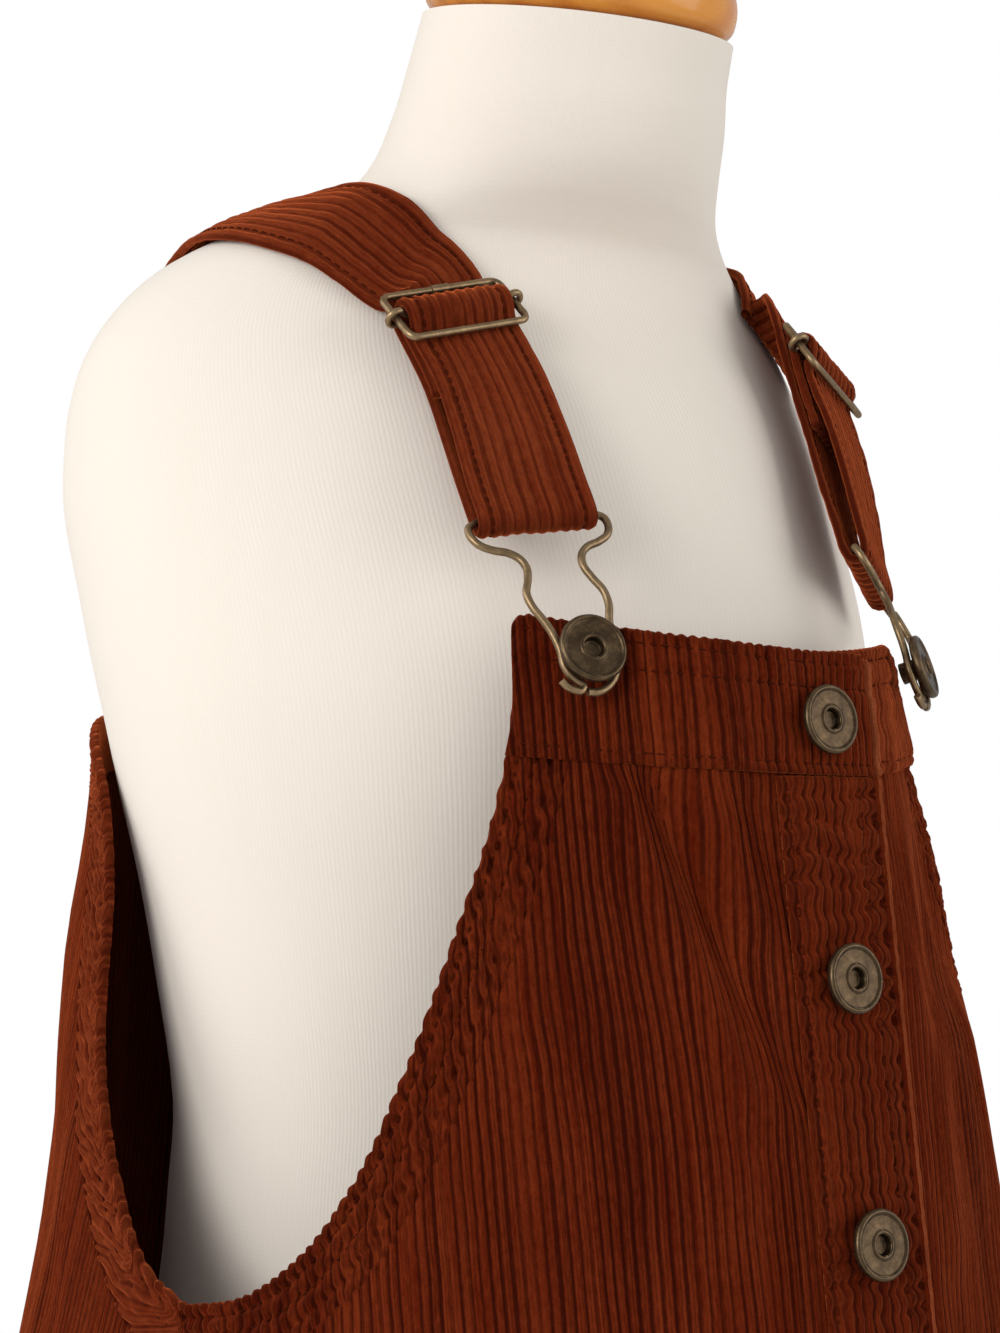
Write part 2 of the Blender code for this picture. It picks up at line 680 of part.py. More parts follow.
def make_back(collection):
    """Make the back panel, its top band, armhole hems and foot hem."""
    # The armhole is worked with girths below nought, so that the cloth lies to its right.
    turned = [(-edge.girth, edge.height) for edge in BACK_ARMHOLE[::-1]]
    edges = stretch(turned, 0, None, ARM_ROWS)
    aside = np.array((CORNER_GAP, 0))
    corner = [-edges[0][0], edges[0][1]] + aside
    sides = [np.array((-girth, height)) for girth, height in inset_curve(edges, ARM_HEM + SEAM)]
    grid = [back_line(*corner, back_centre(corner[1]))]
    for girth, height in [sides[0] + aside, *sides[1:]]:
        limit = seam_girth(height) + SIDE_GAP / 2
        grid.append(back_line(max(girth, limit), height, back_centre(height)))
    for height in np.linspace(sides[-1][1], PANEL_LOW, SKIRT_ROWS + 1)[1:]:
        grid.append(back_line(seam_girth(height) + SIDE_GAP / 2, height, back_centre(height)))
    sheet_piece("back", grid, 0.0, CLOTH, collection)

    band = []
    for share in np.linspace(0, 1, 4):
        band.append(back_line(BACK_BAND_EDGE, corner[1] - BAND * share, BACK_TOP - BAND * share))
    sheet_piece("back_band", band, SEAM + OVERLAY, OVERLAY, collection)

    for side, word in ((RIGHT, "right"), (LEFT, "left")):
        hem = hem_grid(side, edges, lambda girth, z: max(-girth, seam_girth(z) + SIDE_GAP / 2))
        sheet_piece(f"armhole_hem_back_{word}", hem, 0.0, TURNED, collection)

    foot = []
    for height in np.linspace(HEM_HEIGHT + FOOT_HEM, HEM_HEIGHT, 3):
        foot.append(back_line(seam_girth(height) + SIDE_GAP / 2, height, height))
    sheet_piece("foot_hem_back", foot, 0.0, TURNED, collection)


# Turned and bent pieces ---------------------------------------------------------------------------


def turned_piece(name, profile, steps, place, look, collection):
    """Turn a profile of (radius, height), listed from the top's centre to the bottom's, about its axis."""
    mesh = bpy.data.meshes.new(name)
    points = [(radius, 0, height) for radius, height in profile]
    mesh.from_pydata(points, [(index, index + 1) for index in range(len(points) - 1)], [])
    item = bpy.data.objects.new(name, mesh)
    turn = item.modifiers.new("Turn", "SCREW")
    turn.steps = steps
    turn.render_steps = steps
    turn.use_merge_vertices = True
    turn.merge_threshold = 0.00001
    turn.use_smooth_shade = True
    item.matrix_world = place
    return finish(name, look, collection, item)


def frame_matrix(origin, across, up, outward):
    """Return the matrix whose axes are the three directions."""
    matrix = Matrix((across, up, outward)).transposed().to_4x4()
    matrix.translation = origin
    return matrix


def wire_piece(name, points, radius, closed, collection, look=BRASS):
    """Make a bent wire through the points."""
    curve = bpy.data.curves.new(name, "CURVE")
    curve.dimensions = "3D"
    curve.bevel_depth = radius
    curve.bevel_resolution = 2
    curve.use_fill_caps = True
    spline = curve.splines.new("POLY")
    spline.points.add(len(points) - 1)
    for place, point in zip(spline.points, points):
        place.co = (*point, 1)
    spline.use_cyclic_u = closed
    spline.use_smooth = True
    item = bpy.data.objects.new(name, curve)
    return finish(name, look, collection, item)


def button_profile(shank, shank_radius):
    """Return the turned outline of a tack button with a raised rim and a hollow centre."""
    radius = BUTTON_RADIUS
    return (
        (0, shank + 1.2 * MM),
        (2.7 * MM, shank + 1.2 * MM),
        (3.1 * MM, shank + 2.5 * MM),
        (radius - 1.3 * MM, shank + 2.1 * MM),
        (radius - 0.7 * MM, shank + 2.5 * MM),
        (radius, shank + 1.9 * MM),
        (radius, shank + 0.6 * MM),
        (radius - 0.8 * MM, shank),
        (shank_radius, shank),
        (shank_radius, 0),
        (0, 0),
    )


def button_frame(side, girth, height, lift, turn=None, tilt=None):
    """Return a frame on the cloth, facing along its normal or along a given turn and tilt."""
    point, normal = cloth_point(side, girth, height, lift)
    if turn is not None:
        normal = Vector((side * sin(turn) * cos(tilt), -cos(turn) * cos(tilt), sin(tilt)))
    across = Vector((0, 0, 1)).cross(normal).normalized()
    return frame_matrix(point, across, normal.cross(across), normal)


def make_buttons(collection):
    """Make the placket's buttons, each seated on the right placket band."""
    seat = SEAM + OVERLAY + REST_GAP
    for number in range(BUTTON_COUNT):
        height = TOP_BUTTON_HEIGHT - BUTTON_SPACING * number
        place = button_frame(RIGHT, 0.0, height, seat)
        profile = button_profile(TACK_SHANK, TACK_SHANK_RADIUS)
        turned_piece(f"placket_button_{number + 1}", profile, BUTTON_STEPS, place, BRASS, collection)


# Straps -----------------------------------------------------------------------------------------


def torso_row(height):
    """Return the dress form's section at a height."""
    return smooth_rows(TORSO_SECTIONS, "height", height)


def torso_slope(point):
    """Return the form's outward direction near a point, and how fast its level rises that way."""

    def level(x, y, z):
        row = torso_row(z)
        return ((x / row[2]) ** 2 + ((y - row[1]) / row[3]) ** 2) ** 0.5

    step = 0.5 * MM
    x, y, z = point
    rise = Vector(
        (
            level(x + step, y, z) - level(x - step, y, z),
            level(x, y + step, z) - level(x, y - step, z),
            level(x, y, z + step) - level(x, y, z - step),
        )
    )
    return rise.normalized(), rise.length / (2 * step)


def onto_torso(point):
    """Return the place on the form nearest to a point."""
    place = Vector(point)
    for _ in range(PROJECT_ROUNDS):
        row = torso_row(place.z)
        level = ((place.x / row[2]) ** 2 + ((place.y - row[1]) / row[3]) ** 2) ** 0.5 - 1
        outward, rate = torso_slope(place)
        place -= outward * (level / rate)
    return place


def torso_gap(point):
    """Return how far a point is off the form, below nought inside it."""
    row = torso_row(point.z)
    level = ((point.x / row[2]) ** 2 + ((point.y - row[1]) / row[3]) ** 2) ** 0.5 - 1
    return level / torso_slope(point)[1]


def strap_arch(share):
    """Return how far the strap's faces follow its bow at a share of its half width."""
    return float(np.interp(share, STRAP_COLUMNS, [1 - column**2 for column in STRAP_COLUMNS]))


def shortfall(place, normal, across, bow, shares):
    """Return how far the strap's inner face falls short of its clearance over the form, at most."""
    needed = []
    for share in shares:
        seen = place + normal * (bow * strap_arch(share)) + across * (STRAP_WIDTH / 2 * share)
        needed.append(SHOULDER_GAP + STRAP_CLOTH / 2 - torso_gap(seen))
    return needed


def shoulder_places(side):
    """Return a strap's places on the shoulder, the outward directions and the bows there.

    The bow is how far the strap's middle line stands over the line between its two edges.
    """
    middles = [onto_torso(point) for point in along_curve(SHOULDER_ROUTE[side], SHOULDER_STATIONS)]
    places = []
    half = STRAP_WIDTH / 2
    for index, middle in enumerate(middles):
        along = middles[min(index + 1, len(middles) - 1)] - middles[max(index - 1, 0)]
        along.normalize()
        across = along.cross(torso_slope(middle)[0]).normalized()
        for _ in range(SOLVE_ROUNDS - 1):
            ends = [onto_torso(middle + across * (half * sign)) for sign in (-1, 1)]
            across = (ends[1] - ends[0]).normalized()
        normal = across.cross(along).normalized()
        lift = 0.0
        for _ in range(SOLVE_ROUNDS):
            lift += max(shortfall(middle + normal * lift, normal, across, 0.0, (-1, 1)))
        place = middle + normal * lift
        bow = 0.0
        for _ in range(SOLVE_ROUNDS):
            needed = shortfall(place, normal, across, bow, INNER_SHARES)
            bow += max(need / strap_arch(share) for need, share in zip(needed, INNER_SHARES))
        places.append((place, normal, max(bow, -DEEPEST_BOW)))
    return places


def strap_frames(side):
    """Return the strap's under layer, from the hook's bar over to the back band, and the slider's place.

    Each frame is a distance up from the bar, a place, the outward direction, the one across it,
    the one along it and the bow. It is worked out as if for the right strap, then mirrored.
    """
    stations = []
    for station, steps in ((HOOK_BAR[side], (0, 8)), (SLIDER_PLACE[side], SLIDER_STEPS)):
        along = station.along.normalized()
        outward = station.across.cross(along).normalized()
        start = station.place
        if station is HOOK_BAR[side]:
            start = start - outward * (STRAP_CLOTH / 2 + REST_GAP + HOOK_WIRE)
        stations += [(start + along * (step * MM), outward, 0.0) for step in steps]
    stations += shoulder_places(side)
    seat = SEAM + OVERLAY + REST_GAP + STRAP_CLOTH / 2
    for height in STRAP_SEAT_HEIGHTS:
        stations.append((*cloth_point(RIGHT, STRAP_SEAT_GIRTH, height, seat), 0.0))

    fine = along_curve([station[0] for station in stations], STRAP_FRAMES)
    travel = np.concatenate([[0], np.cumsum(np.linalg.norm(np.diff(fine, axis=0), axis=1))])
    stops = []
    for place, _, _ in stations:
        stops.append(float(travel[np.argmin(np.linalg.norm(fine - np.array(place), axis=1))]))
    normals = np.array([tuple(station[1]) for station in stations])
    outward = np.stack([np.interp(travel, stops, normals[:, axis]) for axis in range(3)], 1)
    bows = np.interp(travel, stops, [station[2] for station in stations])
    axes = []
    lifts = []
    for index, place in enumerate(fine):
        along = fine[min(index + 1, len(fine) - 1)] - fine[max(index - 1, 0)]
        along /= np.linalg.norm(along)
        normal = outward[index] - along * float(outward[index] @ along)
        normal /= np.linalg.norm(normal)
        across = np.cross(along, normal)
        axes.append((normal, across, along))
        shares = (-1, *INNER_SHARES, 1)
        seen = (Vector(place), Vector(normal), Vector(across))
        lifts.append(max(0.0, *shortfall(*seen, bows[index], shares)))
    reach = np.ones(LIFT_REACH) / LIFT_REACH
    padded = np.pad(lifts, LIFT_REACH - 1, mode="edge")
    highest = [padded[start : start + LIFT_REACH].max() for start in range(len(padded) - LIFT_REACH + 1)]
    lifts = np.convolve(highest, reach, mode="valid")
    mirror = np.array((-side, 1, 1))
    frames = []
    for index, (normal, across, along) in enumerate(axes):
        place = fine[index] + normal * lifts[index]
        frame = [value * mirror for value in (place, normal, across, along)]
        frames.append((travel[index], *frame, bows[index]))
    return frames, stops[2 + SLIDER_STEPS.index(0)]


def on_strap(frames, up, height, across=0.0):
    """Return the place at a distance up the strap, a height over it and a distance across it."""
    travel = [frame[0] for frame in frames]
    inside = min(max(up, 0.0), travel[-1])
    values = [
        np.array([np.interp(inside, travel, [frame[part][axis] for frame in frames]) for axis in range(3)])
        for part in range(1, 5)
    ]
    place, normal, sideways, along = values
    normal /= np.linalg.norm(normal)
    sideways /= np.linalg.norm(sideways)
    bow = float(np.interp(inside, travel, [frame[5] for frame in frames]))
    height += bow * strap_arch(min(max(across / (STRAP_WIDTH / 2), -1), 1))
    return Vector(place + normal * height + sideways * across + along * (up - inside))


def strap_route(frames, slider_up):
    """Return the strap's middle line as (up, height), from the back band to its turned-in end."""
    radius = STRAP_CLOTH / 2 + REST_GAP + HOOK_WIRE
    length = frames[-1][0]
    route = [(length * share, 0.0) for share in np.linspace(1, 0, STRAP_RINGS)]
    for step in range(1, LOOP_STEPS):
        turn = pi * step / LOOP_STEPS
        route.append((-radius * sin(turn), radius * (1 - cos(turn))))
    route.append((0.0, 2 * radius))
    route += [(point.up * MM, point.height * MM) for point in FRONT_LAYER]
    route += [(slider_up + point.up * MM, point.height * MM) for point in SLIDER_ROLL]
    return route


def make_strap(side, word, collection):
    """Make a strap, its slider with the centre bar, its hook and its bib button."""
    frames, slider_up = strap_frames(side)
    route = strap_route(frames, slider_up)
    mesh = bpy.data.meshes.new("strap")
    build = bmesh.new()
    half = STRAP_WIDTH / 2
    rings = []
    for index, (up, height) in enumerate(route):
        before = route[max(index - 1, 0)]
        after = route[min(index + 1, len(route) - 1)]
        run, climb = after[0] - before[0], after[1] - before[1]
        length = hypot(run, climb)
        shift = np.array((-climb, run)) / length * STRAP_CLOTH / 2
        corners = [(1, column) for column in STRAP_COLUMNS]
        corners += [(-1, column) for column in STRAP_COLUMNS[::-1]]
        ring = []
        for sign, column in corners:
            place = on_strap(frames, up + sign * shift[0], height + sign * shift[1], half * column)
            ring.append(build.verts.new(place))
        rings.append(ring)
    for first, second in zip(rings, rings[1:]):
        for corner in range(len(ring)):
            following = (corner + 1) % len(ring)
            build.faces.new((first[corner], first[following], second[following], second[corner]))
    build.faces.new(rings[0])
    build.faces.new(rings[-1])
    bmesh.ops.recalc_face_normals(build, faces=build.faces[:])
    build.to_mesh(mesh)
    build.free()
    finish(f"strap_{word}", CORDUROY, collection, bpy.data.objects.new("strap", mesh))

    centre = on_strap(frames, slider_up, 0.0)
    outward = on_strap(frames, slider_up, 1.0) - centre
    sideways = on_strap(frames, slider_up, 0.0, 1.0) - centre
    upward = outward.cross(sideways) * side * -1

    def slider_point(across, share, proud=0.0):
        """Return a place on the slider, from its low bar (0) to its top bar (1)."""
        up = SLIDER_LOW_BAR.up + (SLIDER_TOP_BAR.up - SLIDER_LOW_BAR.up) * share
        height = SLIDER_LOW_BAR.height + (SLIDER_TOP_BAR.height - SLIDER_LOW_BAR.height) * share
        run = SLIDER_TOP_BAR.up - SLIDER_LOW_BAR.up
        climb = SLIDER_TOP_BAR.height - SLIDER_LOW_BAR.height
        length = hypot(run, climb)
        up += -climb / length * proud
        height += run / length * proud
        return centre + (upward * up + outward * height + sideways * across) * MM

    wide = SLIDER_HALF_WIDTH / MM
    outline = []
    for sign, share in ((-1, 0), (1, 0), (1, 1), (-1, 1)):
        towards = 1 if share == 0 else -1
        bend = [(sign * (wide - short), share + towards * rise) for short, rise in SLIDER_BEND]
        outline += bend if (sign > 0) == (share == 0) else bend[::-1]
    wire_piece(f"slider_{word}", [slider_point(*p) for p in outline], SLIDER_WIRE, True, collection)

    ring = SLIDER_WIRE / MM + SLIDER_BAR_WIRE / MM + CURVE_GAP
    curl = []
    for turn in CURL_TURNS:
        curl.append((wide + ring * cos(radians(turn)), ring * sin(radians(turn))))
    bar = [(-across, 0.5, proud) for across, proud in curl[::-1]]
    root = wide - CURL_ROOT
    bar += [(-root, 0.5, CURL_LIFT), (0, 0.5, 0.0), (root, 0.5, CURL_LIFT)]
    bar += [(across, 0.5, proud) for across, proud in curl]
    wire_piece(f"slider_bar_{word}", [slider_point(*p) for p in bar], SLIDER_BAR_WIRE, False, collection)
    make_hook(side, word, frames, collection)


def make_hook(side, word, frames, collection):
    """Make a bib hook and the tack button that it catches."""
    lift = SEAM + OVERLAY + BIB_BUTTON_LIFT
    place = button_frame(
        side, BIB_BUTTON_GIRTH, BIB_BUTTON_HEIGHT, lift, BIB_BUTTON_TURN[side], BIB_BUTTON_TILT
    )
    profile = button_profile(BIB_SHANK, SHANK_RADIUS)
    turned_piece(f"bib_button_{word}", profile, BUTTON_STEPS, place, BRASS, collection)

    ring = place @ Vector((0, 0, RING_STAND))
    across = (place.to_3x3() @ Vector((1, 0, 0))).normalized()
    upward = (place.to_3x3() @ Vector((0, 1, 0))).normalized()
    bar = on_strap(frames, 0.0, STRAP_CLOTH / 2 + REST_GAP + HOOK_WIRE)
    bar_across = on_strap(frames, 0.0, 0.0, 1.0) - on_strap(frames, 0.0, 0.0)
    bar_across.normalize()
    if bar_across.dot(across) < 0:
        bar_across = -bar_across
    knee = ring + upward * (HOOK_RISE / 2 * MM) + place.to_3x3() @ Vector((0, 0, HOOK_BELLY))
    knee -= bar_across * (knee - bar).dot(bar_across)

    def hook_point(sideways, up):
        """Return a place on the hook, bent back from the button to the bar."""
        share = max(up, 0.0) / HOOK_RISE
        middle = ring * (1 - share) ** 2 + knee * (2 * share * (1 - share)) + bar * share**2
        middle += upward * (min(up, 0.0) * MM)
        twist = min(share * HOOK_TWIST, 1.0)
        direction = (across * (1 - twist) + bar_across * twist).normalized()
        return middle + direction * (sideways * MM)

    half = [(point.across, point.up) for point in HOOK_HALF]
    wire = [(-sideways, up) for sideways, up in half[:0:-1]] + half
    wire_piece(f"bib_hook_{word}", [hook_point(*p) for p in wire], HOOK_WIRE, False, collection)


# Dress form ---------------------------------------------------------------------------------------


def make_form(collection):
    """Make the torso, its neck cap, the board under it, the pole and the base."""
    heights = [row.height for row in TORSO_SECTIONS]
    levels = list(heights)
    for low, high in zip(heights, heights[1:]):
        if high - low > TALLEST_LEVEL or NECK_ROOT < high < NECK_RISE:
            levels.append((low + high) / 2)
    levels.sort()
    mesh = bpy.data.meshes.new("torso")
    build = bmesh.new()
    rings = []
    for height in levels:
        row = torso_row(height)
        ring = []
        for index in range(TORSO_SIDES):
            turn = 2 * pi * index / TORSO_SIDES
            forward = row[3] * sin(turn)
            ring.append(build.verts.new((row[2] * cos(turn), row[1] + forward, height + row[4] * forward)))
        rings.append(ring)
    for lower, upper in zip(rings, rings[1:]):
        for index in range(TORSO_SIDES):
            following = (index + 1) % TORSO_SIDES
            build.faces.new((lower[index], lower[following], upper[following], upper[index]))
    build.faces.new(rings[0])
    build.faces.new(rings[-1])
    bmesh.ops.recalc_face_normals(build, faces=build.faces[:])
    build.to_mesh(mesh)
    build.free()
    mesh.shade_smooth()
    finish("torso", JERSEY, collection, bpy.data.objects.new("torso", mesh))

    neck = TORSO_SECTIONS[-1]
    lean = atan2(neck.tilt, 1)
    outward = Vector((0, -sin(lean), cos(lean)))
    across = Vector((1, 0, 0))
    seat = Vector((0, neck.centre, neck.height)) + outward * REST_GAP
    place = frame_matrix(seat, across, outward.cross(across), outward)
    profile = (
        (0, CAP_HEIGHT),
        (CAP_RADIUS - 16 * MM, CAP_HEIGHT - 1.5 * MM),
        (CAP_RADIUS - 6 * MM, CAP_HEIGHT - 5 * MM),
        (CAP_RADIUS - 1.2 * MM, CAP_HEIGHT - 10.5 * MM),
        (CAP_RADIUS, 8 * MM),
        (CAP_RADIUS - 0.8 * MM, 3 * MM),
        (CAP_RADIUS - 3.5 * MM, 0.6 * MM),
        (CAP_RADIUS - 6 * MM, 0),
        (0, 0),
    )
    turned_piece("neck_cap", profile, CAP_STEPS, place, WOOD, collection)

    low = TORSO_SECTIONS[0]
    top = low.height - SEAM
    board = (
        (0, 0),
        (low.depth - 4 * MM, 0),
        (low.depth, -3 * MM),
        (low.depth, 2 * MM - BOARD_THICKNESS),
        (low.depth - 2 * MM, -BOARD_THICKNESS),
        (0, -BOARD_THICKNESS),
    )
    place = Matrix.Translation((0, low.centre, top))
    turned_piece("closing_board", board, BOARD_STEPS, place, WOOD, collection)

    pole_top = top - BOARD_THICKNESS - SEAM
    base_top = BASE_THICKNESS + COLLAR_HEIGHT
    pole_low = base_top + SEAM
    pole = (
        (0, pole_top - pole_low),
        (POLE_RADIUS, pole_top - pole_low),
        (POLE_RADIUS, 0),
        (0, 0),
    )
    turned_piece("pole", pole, POLE_STEPS, Matrix.Translation((0, 0, pole_low)), STEEL, collection)
    base = (
        (0, base_top),
        (COLLAR_RADIUS - 3 * MM, base_top),
        (COLLAR_RADIUS, base_top - 4 * MM),
        (COLLAR_RADIUS + 1 * MM, BASE_THICKNESS + 3 * MM),
        (COLLAR_RADIUS + 4 * MM, BASE_THICKNESS),
        (BASE_RADIUS - 6 * MM, BASE_THICKNESS - 3 * MM),
        (BASE_RADIUS, BASE_THICKNESS - 9 * MM),
        (BASE_RADIUS, 2 * MM),
        (BASE_RADIUS - 2 * MM, 0),
        (0, 0),
    )
    turned_piece("base", base, BASE_STEPS, Matrix.Identity(4), WOOD, collection)


def build_all():
    """Make every piece."""
    clear_scene()
    collection = make_collection()
    make_fronts(collection)
    make_back(collection)
    make_buttons(collection)
    for side, word in ((RIGHT, "right"), (LEFT, "left")):
        make_strap(side, word, collection)
    make_form(collection)


build_all()
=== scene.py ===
"""Overall dress in broad-wale corduroy on a limbless dress form, dressed for the studio.

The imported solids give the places. Each class below makes one sub-assembly from named sizes in metres,
in the same frame: +Z up, the wearer faces -Y and the wearer's right is at -X.
"""

import logging
import math
from dataclasses import dataclass, field
from enum import Enum
from typing import Callable, Iterable, Sequence

import bmesh
import bpy
import numpy as np
from mathutils import Matrix, Vector

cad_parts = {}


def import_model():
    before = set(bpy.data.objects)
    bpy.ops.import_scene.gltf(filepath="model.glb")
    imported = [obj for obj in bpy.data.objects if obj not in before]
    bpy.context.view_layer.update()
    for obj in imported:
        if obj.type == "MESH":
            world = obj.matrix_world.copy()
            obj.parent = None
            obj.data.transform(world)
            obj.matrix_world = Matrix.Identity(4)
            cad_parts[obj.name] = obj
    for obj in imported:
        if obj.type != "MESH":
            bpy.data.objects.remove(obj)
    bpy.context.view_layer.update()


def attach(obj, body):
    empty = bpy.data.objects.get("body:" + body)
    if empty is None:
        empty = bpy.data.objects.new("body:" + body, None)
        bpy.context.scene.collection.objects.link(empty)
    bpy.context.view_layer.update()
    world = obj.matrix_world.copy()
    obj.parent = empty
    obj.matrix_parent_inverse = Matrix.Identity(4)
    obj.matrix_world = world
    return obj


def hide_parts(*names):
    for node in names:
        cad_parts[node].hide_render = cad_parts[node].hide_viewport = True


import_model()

MM = 0.001
FULL_TURN = 2 * math.pi
log = logging.getLogger("overall_dress")

Array = np.ndarray
Item = bpy.types.Object
Material = bpy.types.Material
Colour = tuple[float, float, float]
Point = tuple[float, float, float]
Table = tuple[tuple[float, ...], ...]


class Side(Enum):
    """The wearer's side that a piece belongs to; the value is the sign of its X."""

    RIGHT = -1
    LEFT = 1

    @property
    def word(self) -> str:
        """Return the word used in piece names."""
        return self.name.lower()


RIGHT, LEFT = Side.RIGHT, Side.LEFT


# Curves and soft noise ----------------------------------------


def ease(value: Array | float) -> Array:
    """Return a share, clipped to 0 to 1, that rises softly."""
    value = np.clip(value, 0.0, 1.0)
    return value * value * (3 - 2 * value)


def bell(distance: Array, width: float) -> Array:
    """Return a bell curve over a distance, 1 at nought."""
    return np.exp(-((distance / width) ** 2))


def rounded(distance: Array, radius: float | Array) -> Array:
    """Return how far an edge of this radius drops at a distance from it."""
    away = np.clip(1 - distance / radius, 0, 1)
    return radius * (1 - np.sqrt(1 - away**2))


def area_under(heights: Array, places: Array) -> float:
    """Return the area under a line of heights."""
    return float(np.sum((heights[1:] + heights[:-1]) / 2 * np.diff(places)))


def unit(vector: Array) -> Array:
    """Return the vector at length 1, along the last axis."""
    return vector / np.linalg.norm(vector, axis=-1, keepdims=True)


def travelled(line: Array) -> Array:
    """Return the distance along a polyline at each of its points."""
    return np.concatenate([[0], np.cumsum(np.linalg.norm(np.diff(line, axis=0), axis=1))])


def read_rows(where: Array, keys: Array, rows: Array) -> Array:
    """Return the rows at places between their keys."""
    return np.stack([np.interp(where, keys, rows[:, axis]) for axis in range(rows.shape[1])], -1)


def ripple(first: Array, second: Array, seed: int, spread: float = 0.35) -> Array:
    """Make soft, even noise over two coordinates that are counted in wavelengths.

    Args:
        first: First coordinate.
        second: Second coordinate.
        seed: Chooses the pattern.
        spread: How far the wavelengths differ.

    Returns:
        Values of about -1 to 1.
    """
    chooser = np.random.default_rng(seed)
    total = np.zeros(np.broadcast(first, second).shape)
    for _ in range(7):
        turn = chooser.uniform(0, FULL_TURN)
        rate = FULL_TURN * (1 + chooser.uniform(-spread, spread))
        phase = chooser.uniform(0, FULL_TURN)
        total = total + np.sin(rate * (first * math.cos(turn) + second * math.sin(turn)) + phase)
    return total / 3.4


def cubic(
    first: Array, last: Array, leaving: Array, arriving: Array, share: Array
) -> Array:
    """Read a smooth curve between two values.

    Args:
        first: Value at share 0.
        last: Value at share 1.
        leaving: Its rise a share at the first value.
        arriving: Its rise a share at the last value.
        share: Where to read.

    Returns:
        The values.
    """
    square, cube = share**2, share**3
    return (
        first * (2 * cube - 3 * square + 1)
        + leaving * (cube - 2 * square + share)
        + last * (3 * square - 2 * cube)
        + arriving * (cube - square)
    )


def smooth_rows(table: Table, where: Array) -> Array:
    """Read table rows at places along the first column, on a smooth curve through them.

    Args:
        table: Rows of a key and its values.
        where: Keys to read at.

    Returns:
        One row of values per place, without the key.
    """
    table = np.asarray(table)
    keys, values = table[:, 0], table[:, 1:]
    slopes = np.empty_like(values)
    slopes[0] = (values[1] - values[0]) / (keys[1] - keys[0])
    slopes[-1] = (values[-1] - values[-2]) / (keys[-1] - keys[-2])
    slopes[1:-1] = (values[2:] - values[:-2]) / (keys[2:] - keys[:-2])[:, None]
    where = np.clip(where, keys[0], keys[-1])
    low = np.clip(np.searchsorted(keys, where) - 1, 0, len(keys) - 2)
    span = keys[low + 1] - keys[low]
    share = ((where - keys[low]) / span)[..., None]
    span = span[..., None]
    return cubic(values[low], values[low + 1], slopes[low] * span, slopes[low + 1] * span, share)


def along_curve(points: Sequence[Sequence[float]], count: int, steps: int = 16) -> Array:
    """Space points evenly on a smooth curve through the given points.

    Args:
        points: Points the curve passes through.
        count: How many points to return.
        steps: Steps between two given points.

    Returns:
        The evenly spaced points.
    """
    points = np.array([tuple(point) for point in points], float)
    stops = travelled(points)
    slopes = np.gradient(points, stops, axis=0)
    shares = np.linspace(0, 1, steps, endpoint=False)[:, None]
    fine = [
        cubic(points[index], points[index + 1], slopes[index] * span, slopes[index + 1] * span, shares)
        for index, span in enumerate(np.diff(stops))
    ]
    line = np.concatenate([*fine, points[-1:]])
    travel = travelled(line)
    return read_rows(np.linspace(0.0, travel[-1], count), travel, line)


# Materials ----------------------------------------


@dataclass(frozen=True)
class Flow:
    """What flows out of a material's node; plain arithmetic adds the Math nodes."""

    make: "Nodes"
    socket: bpy.types.NodeSocket

    def __add__(self, other: "Flow | float") -> "Flow":
        """Return the sum."""
        return self.make.maths("ADD", self, other)

    def __sub__(self, other: "Flow | float") -> "Flow":
        """Return the difference."""
        return self.make.maths("SUBTRACT", self, other)

    def __mul__(self, other: "Flow | float") -> "Flow":
        """Return the product."""
        return self.make.maths("MULTIPLY", self, other)

    def wave(self) -> "Flow":
        """Return a wave from 0 to 1 and back over each full turn."""
        return self.make.maths("COSINE", self) * 0.5 + 0.5


